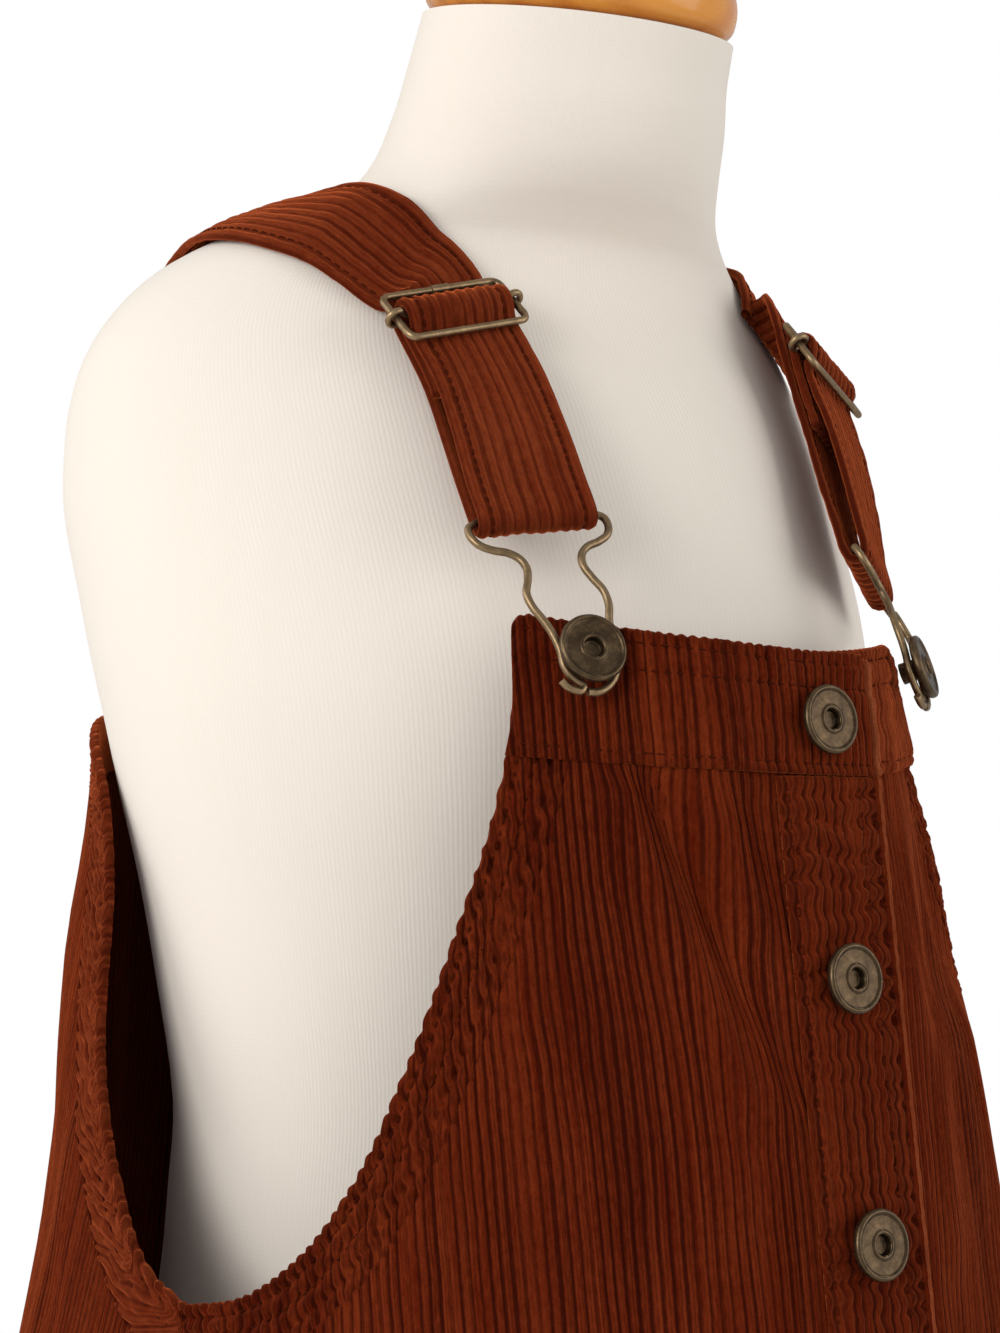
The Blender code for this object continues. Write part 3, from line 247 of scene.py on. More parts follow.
class Nodes:
    """Short hand for building a material's nodes."""

    def __init__(self, name: str) -> None:
        """Start a material with a Principled shader."""
        self.material = bpy.data.materials.new(name)
        self.material.use_nodes = True
        self.tree = self.material.node_tree
        self.shader = self.tree.nodes["Principled BSDF"]

    def put(self, node: bpy.types.Node, **inputs: object) -> None:
        """Fill a node's inputs.

        Args:
            node: The node.
            **inputs: A number, a colour or a flow per input; _ stands for a space, and _0 for number 0.
        """
        for name, value in inputs.items():
            socket = node.inputs[int(name[1:]) if name[0] == "_" else name.replace("_", " ")]
            if isinstance(value, Flow):
                self.tree.links.new(value.socket, socket)
            elif socket.type == "RGBA":
                socket.default_value = (*value, 1)
            else:
                socket.default_value = value

    def add(
        self, kind: str, out: int | str = 0, settings: dict[str, object] | None = None, **inputs: object
    ) -> Flow:
        """Add a node.

        Args:
            kind: Blender's type name without its "ShaderNode" start.
            out: The output that is read.
            settings: Its properties.
            **inputs: What goes into its inputs.

        Returns:
            What flows out.
        """
        node = self.tree.nodes.new("ShaderNode" + kind)
        for key, value in (settings or {}).items():
            setattr(node, key, value)
        self.put(node, **inputs)
        return Flow(self, node.outputs[out])

    def maths(self, operation: str, first: Flow, second: Flow | float = 0.0) -> Flow:
        """Return the result of Blender's operation on two values."""
        return self.add("Math", 0, {"operation": operation}, _0=first, _1=second, _2=0.0)

    def place(self) -> Flow:
        """Return the place on the object."""
        return self.add("TexCoord", "Object")

    def scaled(self, place: Flow, scale: Point) -> Flow:
        """Return a place scaled along each axis."""
        return self.add("Mapping", Scale=scale, Vector=place)

    def noise(self, place: Flow, scale: float, detail: float = 2.0, rough: float = 0.5) -> Flow:
        """Return soft noise over a place."""
        return self.add("TexNoise", Vector=place, Scale=scale, Detail=detail, Roughness=rough)

    def mix(self, share: Flow | float, first: object, second: object, blend: str = "MIX") -> Flow:
        """Return a blend of two colours."""
        settings = {"data_type": "RGBA", "blend_type": blend, "clamp_factor": True}
        return self.add("Mix", 2, settings, _0=share, _6=first, _7=second)

    def span(self, value: Flow, low: float, high: float, kind: str = "SMOOTHSTEP") -> Flow:
        """Return where a value lies from low, at 0, to high, at 1."""
        return self.add("MapRange", 0, {"interpolation_type": kind}, Value=value, From_Min=low, From_Max=high)

    def bump(self, height: Flow, distance: float, strength: float, **below: Flow) -> Flow:
        """Return the normal of a relief of this distance in metres, laid over the Normal below it."""
        return self.add("Bump", Height=height, Distance=distance, Strength=strength, **below)

    def ramp(self, value: Flow, stops: Sequence[tuple[float, Colour]]) -> Flow:
        """Add a colour ramp.

        Args:
            value: What it reads.
            stops: Places and colours.

        Returns:
            The colour.
        """
        colour = self.add("ValToRGB", _0=value)
        elements = colour.socket.node.color_ramp.elements
        while len(elements) < len(stops):
            elements.new(0.5)
        for element, (place, tone) in zip(elements, stops):
            element.position = place
            element.color = (*tone, 1)
        return colour

    def finish(self, **inputs: object) -> Material:
        """Fill the shader's inputs and return the material."""
        self.put(self.shader, **inputs)
        return self.material


@dataclass(frozen=True)
class Corduroy:
    """Broad-wale cotton corduroy: ridges of upright pile, with painted shade in the grooves and hollows and a
    painted highlight on sharp edges.

    The UV layer holds the place in wales across and in metres along them.
    """

    label: str = "corduroy"
    pile: Colour = (0.078, 0.0066, 0.0011)
    # Lighter colour of the nap's wear streaks; also a painted highlight on sharp edges and ridge tops.
    rubbed_and_lit: Colour = (0.225, 0.037, 0.0088)
    # Painted shade: the dark colour laid in the grooves between wales and in hollows.
    ground: Colour = (0.027, 0.0025, 0.0007)
    sheen_tint: Colour = (1.0, 0.21, 0.06)
    roughness: float = 0.92
    sheen: float = 0.50
    streak: float = 0.55
    tuft: float = 900.0

    def material(self) -> Material:
        """Make the material.

        Returns:
            The material.
        """
        make = Nodes(self.label)
        layer = make.add("UVMap", 0, {"uv_map": "Wales"})
        across = make.add("SeparateXYZ", 0, _0=layer)
        along = make.add("SeparateXYZ", 1, _0=layer)
        ridge = (across * FULL_TURN).wave()
        place = make.add("CombineXYZ", _0=across, _1=along * (self.tuft / 3))
        tufts = make.noise(make.scaled(place, (3.0, 1.0, 1.0)), 1.0, 3.0, 0.6)
        streaks = make.noise(make.scaled(place, (0.9, 0.035, 1.0)), 1.0, 3.0, 0.55)
        cords = make.noise(make.scaled(place, (5.0, 0.012, 1.0)), 1.0)
        strong = make.noise(make.scaled(place, (0.42, 0.010, 1.0)), 1.0)
        cloudy = make.noise(make.place(), 28.0, 3.0)
        nap = make.noise(make.place(), 2600.0, 2.0, 0.6)
        rubbing = make.span(streaks * 0.9 + cloudy * 0.5 + tufts * 0.60, 0.80, 1.30, "LINEAR")
        bend = make.add("NewGeometry", "Pointiness")
        # The nap's wear streaks, joined with a painted highlight where the surface is sharply convex.
        streaks_and_edge_highlight = make.maths("MAXIMUM", rubbing * self.streak, make.span(bend, 0.515, 0.60) * 0.35)
        top = make.mix(streaks_and_edge_highlight, self.pile, self.rubbed_and_lit)
        # Painted shade: concave places take the dark groove colour.
        top = make.mix(make.span(bend, 0.495, 0.425) * 0.6, top, self.ground)
        ragged = ridge + (tufts - 0.5) * 0.45 + (cords - 0.5) * 1.3 + (strong - 0.5) * 1.4
        ragged = ragged - make.maths("POWER", ridge, 10.0) * (cords + 0.25) * 0.75
        # Painted shade: the grooves between the wale ridges take the dark groove colour.
        colour = make.mix(make.span(ragged, -0.25, 0.80), self.ground, top)
        fleck = nap * 0.8 + 0.60
        fleck = make.add("CombineColor", _0=fleck, _1=fleck, _2=fleck)
        normal = make.bump(cords, 0.0005, 0.45)
        normal = make.bump(tufts, 0.00035, 0.8, Normal=normal)
        return make.finish(
            Base_Color=make.mix(1.0, colour, fleck, "MULTIPLY"),
            Normal=make.bump(nap, 0.00012, 0.7, Normal=normal),
            Roughness=self.roughness,
            Specular_IOR_Level=0.03,
            Sheen_Weight=self.sheen,
            Sheen_Roughness=0.4,
            Sheen_Tint=self.sheen_tint,
        )


# A lighter copy of the corduroy for the straps, the left bib band and the back armhole hems: partly wear of
# the nap, partly painted light on parts that face the lamps.
WORN_AND_LIT = Corduroy(
    label="corduroy_strap_lit",
    pile=(0.103, 0.0125, 0.0029),
    rubbed_and_lit=(0.27, 0.055, 0.017),
    ground=(0.054, 0.0058, 0.0015),
    sheen=0.80,
)
# Paler nap for the right front's folded edge, made lighter still as a painted highlight where the edge
# catches the light.
FADED_AND_LIT = Corduroy(
    label="corduroy_edge_lit",
    pile=(0.20, 0.042, 0.014),
    rubbed_and_lit=(0.40, 0.125, 0.05),
    ground=(0.10, 0.017, 0.005),
    sheen=0.80,
)


@dataclass(frozen=True)
class Thread:
    """Matt sewing thread a shade darker than the cloth."""

    label: str = "thread"
    colour: Colour = (0.072, 0.0105, 0.0030)
    shadow: float = 0.45

    def material(self) -> Material:
        """Make the material.

        Returns:
            The material.
        """
        make = Nodes(self.label)
        twist = make.add("TexWave", 1, Vector=make.place(), Scale=900.0, Distortion=2.0)
        dark = tuple(value * self.shadow for value in self.colour)
        return make.finish(
            Base_Color=make.mix(twist, dark, self.colour),
            Normal=make.bump(twist, 0.0001, 0.6),
            Roughness=0.9,
            Specular_IOR_Level=0.05,
        )


@dataclass(frozen=True)
class AntiqueBrass:
    """Antique brass: brown patina in the hollows and bright metal where the edges wear through."""

    label: str = "antique_brass"
    patina: Colour = (0.029, 0.018, 0.0095)
    metal: Colour = (0.115, 0.073, 0.037)
    bright: Colour = (0.38, 0.26, 0.14)

    def material(self) -> Material:
        """Make the material.

        Returns:
            The material.
        """
        make = Nodes(self.label)
        edges = make.span(make.add("NewGeometry", "Pointiness"), 0.50, 0.58)
        clouds = make.noise(make.place(), 380.0, 4.0, 0.6)
        specks = make.noise(make.place(), 1900.0, 3.0, 0.65)
        between = tuple(0.55 * brown + 0.45 * brass for brown, brass in zip(self.patina, self.metal))
        stops = ((0.34, self.patina), (0.52, between), (0.68, self.metal))
        base = make.ramp(clouds * 0.65 + specks * 0.35, stops)
        return make.finish(
            Base_Color=make.mix(edges * (clouds + 0.25), base, self.bright),
            Metallic=0.9,
            Roughness=specks * 0.3 + 0.24,
            Normal=make.bump(specks, 0.00005, 0.5, Normal=make.bump(clouds, 0.00012, 0.35)),
        )


@dataclass(frozen=True)
class RibJersey:
    """Cream cotton jersey with fine upright ribs, stretched over the form.

    The UV layer holds ribs round the form and metres up it.
    """

    label: str = "jersey"
    colour: Colour = (0.80, 0.727, 0.648)
    # Painted shade: the darker colour laid in the furrows between the ribs.
    furrow_shade: Colour = (0.755, 0.682, 0.595)
    loop: float = 1.1 * MM

    def material(self) -> Material:
        """Make the material.

        Returns:
            The material.
        """
        make = Nodes(self.label)
        layer = make.add("UVMap", 0, {"uv_map": "Ribs"})
        around = make.add("SeparateXYZ", 0, _0=layer)
        upward = make.add("SeparateXYZ", 1, _0=layer)
        waver = make.noise(make.scaled(make.place(), (1.0, 1.0, 0.25)), 60.0, 3.0)
        rib = ((around + waver * 1.6) * FULL_TURN).wave()
        loops = (upward * (FULL_TURN / self.loop)).wave()
        streak = make.noise(make.scaled(make.place(), (1.0, 1.0, 0.06)), 160.0, 3.0, 0.6)
        fuzz = make.noise(make.place(), 1800.0, 3.0, 0.6)
        strong = rib * (streak * 0.9 + 0.1)
        normal = make.bump(strong, 0.00014, 0.35)
        normal = make.bump(loops, 0.00005, 0.12, Normal=normal)
        return make.finish(
            # Painted shade: the rib furrows take the darker colour.
            Base_Color=make.mix(strong * 0.8 + 0.2, self.furrow_shade, self.colour),
            Normal=make.bump(fuzz, 0.00006, 0.5, Normal=normal),
            Roughness=0.9,
            Specular_IOR_Level=0.2,
            Sheen_Weight=0.25,
            Sheen_Roughness=0.5,
        )


@dataclass(frozen=True)
class VarnishedWood:
    """Turned wood under glossy amber varnish."""

    label: str = "varnished_wood"
    light: Colour = (0.66, 0.262, 0.040)
    dark: Colour = (0.57, 0.198, 0.027)
    rings: float = 34.0

    def material(self) -> Material:
        """Make the material.

        Returns:
            The material.
        """
        make = Nodes(self.label)
        kind = {"wave_type": "RINGS", "rings_direction": "X"}
        place = make.scaled(make.place(), (0.25, 1.0, 1.0))
        grain = make.add("TexWave", 1, kind, Vector=place, Scale=self.rings, Distortion=3.5, Detail=3.0)
        pores = make.noise(make.scaled(make.place(), (0.05, 1.0, 1.0)), 900.0, 2.0, 0.6)
        return make.finish(
            Base_Color=make.ramp(grain * 0.7 + pores * 0.4, ((0.15, self.dark), (0.75, self.light))),
            Normal=make.bump(pores, 0.00006, 0.25),
            Roughness=pores * 0.12 + 0.22,
            Specular_IOR_Level=0.2,
            Coat_Weight=0.35,
            Coat_Roughness=0.12,
        )


@dataclass(frozen=True)
class SatinPaint:
    """Satin paint on a steel tube."""

    label: str = "painted_steel"
    colour: Colour = (0.70, 0.68, 0.64)
    shadow: float = 0.86

    def material(self) -> Material:
        """Make the material.

        Returns:
            The material.
        """
        make = Nodes(self.label)
        dust = make.noise(make.place(), 90.0, 4.0, 0.6)
        peel = make.noise(make.place(), 1400.0)
        dark = tuple(value * self.shadow for value in self.colour)
        return make.finish(
            Base_Color=make.mix(dust, dark, self.colour),
            Roughness=dust * 0.2 + 0.28,
            Normal=make.bump(peel, 0.00003, 0.4),
        )


# Meshes ----------------------------------------


def wear(item: Item, material: Material, slot: str, *nodes: str) -> Item:
    """Give a piece its finish and let it stand for the solids it covers.

    Args:
        item: The piece.
        material: Its finish.
        slot: Name of the record's material slot; not used.
        *nodes: The solids it replaces.

    Returns:
        The piece.
    """
    item.data.materials.append(material)
    bpy.context.scene.collection.objects.link(item)
    if nodes:
        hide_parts(*nodes)
    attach(item, "root")
    log.info("%s: %d faces", item.name, len(item.data.polygons) if item.type == "MESH" else 0)
    return item


def round_wire(
    name: str, lines: Iterable[Array], radius: float, sides: int, closed: bool = False
) -> Item:
    """Make a round wire or thread along each line.

    Args:
        name: The piece's name.
        lines: The points of each line.
        radius: Its radius.
        sides: How finely it is rounded; at nought its ends stay open, inside the cloth.
        closed: Whether each line closes on itself.

    Returns:
        The object.
    """
    curve = bpy.data.curves.new(name, "CURVE")
    curve.dimensions = "3D"
    curve.bevel_depth = radius
    curve.bevel_resolution = sides
    curve.use_fill_caps = sides > 0
    for points in lines:
        spline = curve.splines.new("POLY")
        spline.points.add(len(points) - 1)
        spline.points.foreach_set("co", np.column_stack([points, np.ones(len(points))]).ravel())
        spline.use_cyclic_u = closed
    return bpy.data.objects.new(name, curve)


def mesh_object(
    name: str, points: Array, faces: list[list[int]], layer: str, spots: Array
) -> Item:
    """Make a smooth mesh with one UV layer.

    Args:
        name: The piece's name.
        points: Its points.
        faces: The point numbers of each face; a triangle may repeat its last one.
        layer: The UV layer's name.
        spots: The UV of each point.

    Returns:
        The object.
    """
    mesh = bpy.data.meshes.new(name)
    mesh.from_pydata(points.tolist(), [], [list(dict.fromkeys(face)) for face in faces])
    corners = np.empty(len(mesh.loops), np.int32)
    mesh.loops.foreach_get("vertex_index", corners)
    mesh.uv_layers.new(name=layer).data.foreach_set("uv", spots[corners].astype(np.float32).ravel())
    mesh.shade_smooth()
    return bpy.data.objects.new(name, mesh)


def grid_faces(rows: int, columns: int, start: int = 0) -> Array:
    """List the quads of a grid of points.

    Args:
        rows: Its rows.
        columns: Its columns.
        start: Number of its first point.

    Returns:
        Four point numbers a quad.
    """
    number = np.arange(rows * columns).reshape(rows, columns) + start
    quads = (number[:-1, :-1], number[:-1, 1:], number[1:, 1:], number[1:, :-1])
    return np.stack([part.ravel() for part in quads], 1)


def shell_object(
    name: str, outer: Array, inner: Array, spots: Array, thin: int = 5
) -> Item:
    """Make a closed cloth shell from its outer and inner faces.

    Args:
        name: The piece's name.
        outer: Grid of points on the outer face.
        inner: Grid of points on the inner face.
        spots: UV of each grid point: wales across and metres along.
        thin: One grid line in how many the inner face keeps within its border.

    Returns:
        The object.
    """
    rows, columns = outer.shape[:2]
    number = np.arange(rows * columns).reshape(rows, columns)
    ring = np.concatenate([number[0, :-1], number[:-1, -1], number[-1, :0:-1], number[:0:-1, 0]])
    first = rows * columns
    down = np.append(np.arange(1, rows - 2, thin), rows - 2)
    along = np.append(np.arange(1, columns - 2, thin), columns - 2)
    within = np.ix_(down, along)
    kept = np.arange(len(down) * len(along)).reshape(len(down), len(along)) + first + len(ring)
    turn, last = columns - 1, rows - 1
    far, side = (2 * turn + last - along)[::-1], (2 * turn + 2 * last - down)[::-1]
    places = np.concatenate([along, turn + down, far, side])
    corners = np.concatenate([kept[0], kept[:, -1], kept[-1, ::-1], kept[::-1, 0]])
    faces = grid_faces(rows, columns).tolist()
    faces += grid_faces(len(down), len(along), int(kept[0, 0]))[:, ::-1].tolist()
    around = first + np.arange(len(ring))
    faces += np.stack([np.roll(ring, -1), ring, around, np.roll(around, -1)], 1).tolist()
    for place, following, corner, beside in zip(places, np.roll(places, -1), corners, np.roll(corners, -1)):
        stop = following + (len(ring) if following < place else 0)
        border = first + np.arange(stop, place - 1, -1) % len(ring)
        faces.append([*border.tolist(), int(corner), int(beside)])
    middle = outer[rows // 2 : rows // 2 + 2, columns // 2 : columns // 2 + 2]
    facing = np.cross(middle[0, 1] - middle[0, 0], middle[1, 0] - middle[0, 0])
    if facing @ (middle[0, 0] - inner[rows // 2, columns // 2]) > 0:
        faces = [face[::-1] for face in faces]
    points = [outer.reshape(-1, 3), inner.reshape(-1, 3)[ring], inner[within].reshape(-1, 3)]
    flat = [spots.reshape(-1, 2), spots.reshape(-1, 2)[ring], spots[within].reshape(-1, 2)]
    return mesh_object(f"{name}_cloth", np.concatenate(points), faces, "Wales", np.concatenate(flat))


def edged(start: float, end: float, step: float, lips: Sequence[float] = (0.0, 0.15, 0.4, 0.8)) -> Array:
    """Space positions evenly, with closer ones at both ends for a rounded edge.

    Args:
        start: First position.
        end: Last position.
        step: Spacing between.
        lips: Distances of the closer ones from each end, in millimetres.

    Returns:
        The positions.
    """
    lip = np.array(lips) * MM
    count = max(int(round((end - start - 2 * lip[-1]) / step)), 1)
    middle = np.linspace(start + lip[-1], end - lip[-1], count + 1)
    return np.concatenate([start + lip[:-1], middle, end - lip[-2::-1]])


# The hanging cloth ----------------------------------------


@dataclass(frozen=True)
class Crease:
    """A straight line down the hanging cloth that something follows on both sides."""

    side: Side
    girth_high: float
    height_high: float
    girth_low: float
    height_low: float
    reach: float

    def place(self, girth: Array, height: Array) -> tuple[Array, Array]:
        """Give where places lie on the line.

        Args:
            girth: Girth from the centre front.
            height: Height.

        Returns:
            The share along it, 0 to 1, and the distance beside it in reaches.
        """
        run, fall = self.girth_low - self.girth_high, self.height_low - self.height_high
        length = math.hypot(run, fall)
        away, down = girth - self.girth_high, height - self.height_high
        return (away * run + down * fall) / length**2, (down * run - away * fall) / length / self.reach


@dataclass(frozen=True)
class Fold(Crease):
    """A soft ridge, or a trough where its rise is below nought."""

    rise: float
    swell: float = 0.45


@dataclass(frozen=True)
class Gather(Crease):
    """A crease that draws the wales on both sides towards its line."""

    pull: float


# Girth and height at the top, girth and height at the foot, reach, rise or pull, and swell.
FOLDS = {
    RIGHT: (
        (0.064, 0.960, 0.064, 0.780, 0.020, -0.0038),
        (0.062, 0.842, 0.030, 0.740, 0.010, 0.0016),
        (0.036, 0.842, 0.016, 0.700, 0.009, -0.0014),
        (0.085, 0.800, 0.070, 0.640, 0.013, -0.0022),
        (0.120, 0.740, 0.118, 0.300, 0.022, 0.0070),
        (0.052, 0.760, 0.062, 0.300, 0.020, 0.0045),
        (0.165, 0.700, 0.185, 0.300, 0.018, -0.0060),
        (0.260, 0.780, 0.262, 0.300, 0.022, 0.0058),
        (0.330, 0.800, 0.340, 0.300, 0.020, -0.0050),
        (0.385, 0.740, 0.405, 0.300, 0.024, 0.0064),
    ),
    LEFT: (
        (0.064, 0.960, 0.064, 0.780, 0.020, -0.0042),
        (0.030, 0.842, 0.044, 0.720, 0.009, 0.0015),
        (0.066, 0.840, 0.082, 0.700, 0.011, 0.0024),
        (0.050, 0.790, 0.058, 0.300, 0.014, -0.0042),
        (0.090, 0.760, 0.104, 0.300, 0.020, 0.0062),
        (0.150, 0.720, 0.160, 0.300, 0.020, -0.0058),
        (0.272, 0.770, 0.280, 0.300, 0.022, 0.0054),
        (0.345, 0.780, 0.358, 0.300, 0.020, -0.0056),
        (0.410, 0.730, 0.430, 0.300, 0.026, 0.0060),
    ),
}

# Narrow creases that the solids leave out.
CREASES = {
    RIGHT: (
        (0.0535, 0.852, 0.0225, 0.755, 0.0042, 0.0024, 0.10),
        (0.0445, 0.850, 0.0140, 0.760, 0.0050, -0.0027, 0.10),
        (0.0280, 0.846, 0.0195, 0.800, 0.0040, 0.0010, 0.2),
        (0.0225, 0.846, 0.0140, 0.800, 0.0035, -0.0009, 0.2),
        (0.0585, 0.830, 0.0530, 0.755, 0.0050, 0.0008, 0.3),
        (0.0520, 0.830, 0.0460, 0.755, 0.0050, -0.0008, 0.3),
        (0.0720, 0.840, 0.0640, 0.760, 0.0060, -0.0010, 0.2),
        (0.080, 0.820, 0.060, 0.740, 0.0060, 0.0009, 0.3),
        (0.168, 0.719, 0.112, 0.700, 0.0060, 0.0016, 0.2),
        (0.165, 0.700, 0.125, 0.655, 0.0090, 0.0014, 0.3),
        (0.215, 0.770, 0.262, 0.690, 0.0070, 0.0014, 0.2),
        (0.300, 0.838, 0.322, 0.730, 0.0070, -0.0012, 0.2),
    ),
    LEFT: (
        (0.050, 0.846, 0.064, 0.790, 0.0050, 0.0009, 0.2),
        (0.026, 0.846, 0.046, 0.780, 0.0050, -0.0008, 0.2),
        (0.074, 0.836, 0.094, 0.760, 0.0060, 0.0011, 0.2),
        (0.168, 0.719, 0.118, 0.702, 0.0060, 0.0014, 0.2),
        (0.120, 0.730, 0.132, 0.560, 0.0080, 0.0018, 0.3),
        (0.215, 0.765, 0.258, 0.680, 0.0070, 0.0014, 0.2),
        (0.305, 0.838, 0.318, 0.740, 0.0070, 0.0012, 0.2),
    ),
}


GATHERS = {
    RIGHT: (
        (0.0495, 0.8540, 0.0190, 0.7600, 0.0062, 0.0021),
        (0.0250, 0.8440, 0.0165, 0.8045, 0.0050, 0.0010),
        (0.0720, 0.7900, 0.0660, 0.7000, 0.0080, 0.0008),
    ),
    LEFT: (
        (0.0300, 0.8460, 0.0560, 0.7700, 0.0070, 0.0019),
        (0.0620, 0.8300, 0.0800, 0.7300, 0.0080, 0.0018),
    ),
}

FOLD_LINES = [Fold(side, *row) for side, rows in FOLDS.items() for row in rows]
CREASE_LINES = [Fold(side, *row) for side, rows in CREASES.items() for row in rows]
GATHER_LINES = [Gather(side, *row) for side, rows in GATHERS.items() for row in rows]


@dataclass
class HangingCloth:
    """The surface on which fronts and back hang.

    A place is a side, the girth along the cloth from the centre front and the height.
    """

    sections: Table = (
        # height, half width in front, depth in front, half width behind, depth behind
        (0.360, 0.181, 0.195, 0.179, 0.164),
        (0.560, 0.158, 0.170, 0.152, 0.138),
        (0.700, 0.137, 0.1525, 0.127, 0.115),
        (0.742, 0.131, 0.147, 0.121, 0.108),
        (0.800, 0.119, 0.1395, 0.1165, 0.100),
        (0.852, 0.107, 0.133, 0.1115, 0.0940),
        (0.883, 0.101, 0.129, 0.1150, 0.0940),
        (0.920, 0.096, 0.125, 0.1185, 0.0980),
    )
    lap_edge: float = 19 * MM
    lap_fade: float = 46 * MM
    lap_height: float = 3.8 * MM
    drawn_top: float = 0.850
    drawn_low: float = 0.752
    drawn_foot: float = 0.500
    drawn_near: float = 0.046
    drawn_far: float = 0.086
    drawn_aside: float = 5 * MM
    level_step: float = 5 * MM
    girth_step: float = 2 * MM

    def __post_init__(self) -> None:
        """Work out the angle that belongs to each girth and level."""
        self.levels = np.arange(0.355, 0.9301, self.level_step)
        self.girths = np.arange(-0.080, 0.681, self.girth_step)
        angles = np.radians(np.linspace(-60, 240, 301))
        self.angles = np.empty((len(self.levels), len(self.girths)))
        self.halves = np.empty(len(self.levels))
        for index, row in enumerate(smooth_rows(self.sections, self.levels)):
            plan = np.stack(self.plan(angles, row), 1)
            travel = travelled(plan)
            travel -= np.interp(0, angles, travel)
            self.angles[index] = np.interp(self.girths, travel, angles)
            self.halves[index] = np.interp(math.pi, angles, travel)

    @staticmethod
    def plan(angle: Array, row: Array) -> tuple[Array, Array]:
        """Give the plan place at an angle from the centre front.

        Args:
            angle: The angle.
            row: The level's half widths and depths.

        Returns:
            X and Y.
        """
        share = ease((np.abs(angle) - math.radians(72)) / math.radians(36))
        side = row[..., 0] * (1 - share) + row[..., 2] * share
        depth = np.where(np.cos(angle) > 0, row[..., 1], row[..., 3])
        return side * np.sin(angle), -depth * np.cos(angle)

    def half(self, height: Array | float) -> Array:
        """Return the girth from the centre front to the centre back."""
        return np.interp(height, self.levels, self.halves)

    def angle(self, girth: Array, height: Array) -> Array:
        """Give the angle from the centre front.

        Args:
            girth: Girth from the centre front.
            height: Height.

        Returns:
            The angle.
        """
        level = np.clip((height - self.levels[0]) / self.level_step, 0, len(self.levels) - 1.001)
        column = np.clip((girth - self.girths[0]) / self.girth_step, 0, len(self.girths) - 1.001)
        low, left = level.astype(int), column.astype(int)
        up, right = level - low, column - left
        near = self.angles[low, left] * (1 - right) + self.angles[low, left + 1] * right
        far = self.angles[low + 1, left] * (1 - right) + self.angles[low + 1, left + 1] * right
        return near * (1 - up) + far * up

    def fold_rise(self, side: Array, girth: Array, height: Array) -> Array:
        """Tell how far folds and creases carry the cloth out.

        Args:
            side: The side's sign.
            girth: Girth from the centre front.
            height: Height.

        Returns:
            The rise.
        """
        rise = np.zeros(girth.shape)
        for fold in (*FOLD_LINES, *CREASE_LINES):
            along, beside = fold.place(girth, height)
            fade = ease(along / fold.swell) * ease((1 - along) / 0.12)
            rise += np.where(side == fold.side.value, fold.rise, 0) * fade * bell(beside, 1.0)
        behind = ease((self.half(height) - girth) / 0.02)
        before = ease((girth - self.lap_edge) / 0.012)
        rise *= before * np.where(girth > 0.1, behind, 1)
        uneven = ripple(girth / 0.075, height / 0.11, 5) * 0.70 * MM
        uneven = uneven + ripple(girth / 0.026, height / 0.045, 6) * 0.28 * MM
        return rise + uneven * np.where(side > 0, 1, -1) * before

    def gathered(self, side: Array, girth: Array, height: Array) -> Array:
        """Tell how far the gathers draw a wale aside.

        Args:
            side: The side's sign.
            girth: The wale's girth where nothing draws it.
            height: Height.

        Returns:
            The change of girth.
        """
        high, low, foot, far = self.drawn_top, self.drawn_low, self.drawn_foot, self.drawn_far
        sunk = ease((high - height) / (high - low)) * ease((height - foot) / (low - foot))
        near = ease((far - girth) / (far - self.drawn_near)) * ease((girth + 0.016) / 0.030)
        total = np.where(side < 0, -self.drawn_aside, -0.4 * self.drawn_aside) * sunk * near
        for gather in GATHER_LINES:
            along, beside = gather.place(girth, height)
            fade = ease(along / 0.12) * ease((1 - along) / 0.2)
            pull = gather.pull * beside * np.exp(0.5 * (1 - beside**2)) * fade
            total -= np.where(side == gather.side.value, pull, 0)
        return total

    def surface(self, side: Array, girth: Array, height: Array) -> Array:
        """Give the cloth's outer face without its wales.

        Args:
            side: The side's sign.
            girth: Girth from the centre front.
            height: Height.

        Returns:
            The points.
        """
        row = smooth_rows(self.sections, height)
        angle = self.angle(girth, height)
        x, y = self.plan(angle, row)
        near, far = self.plan(angle - 0.01, row), self.plan(angle + 0.01, row)
        out_x, out_y = far[1] - near[1], near[0] - far[0]
        length = np.hypot(out_x, out_y)
        lap = self.lap_height * ease((self.lap_fade - girth) / (self.lap_fade - self.lap_edge))
        rise = (self.fold_rise(side, girth, height) + np.where(side < 0, lap, 0)) / length
        return np.stack([side * (x + out_x * rise), y + out_y * rise, height + 0 * x], -1)

    def normal(self, side: Array, girth: Array, height: Array) -> Array:
        """Give the outward direction.

        Args:
            side: The side's sign.
            girth: Girth from the centre front.
            height: Height.

        Returns:
            The directions.
        """
        step = 1.5 * MM
        across = self.surface(side, girth + step, height) - self.surface(side, girth - step, height)
        upward = self.surface(side, girth, height + step) - self.surface(side, girth, height - step)
        return unit(np.cross(across, upward) * side[..., None])

    def lifted(
        self, side: Array, girth: Array, height: Array, *lifts: Array
    ) -> list[Array]:
        """Return a grid of places on the cloth at each of several lifts off it."""
        place, normal = self.surface(side, girth, height), self.normal(side, girth, height)
        return [place + normal * (lift + np.zeros(girth.shape))[..., None] for lift in lifts]


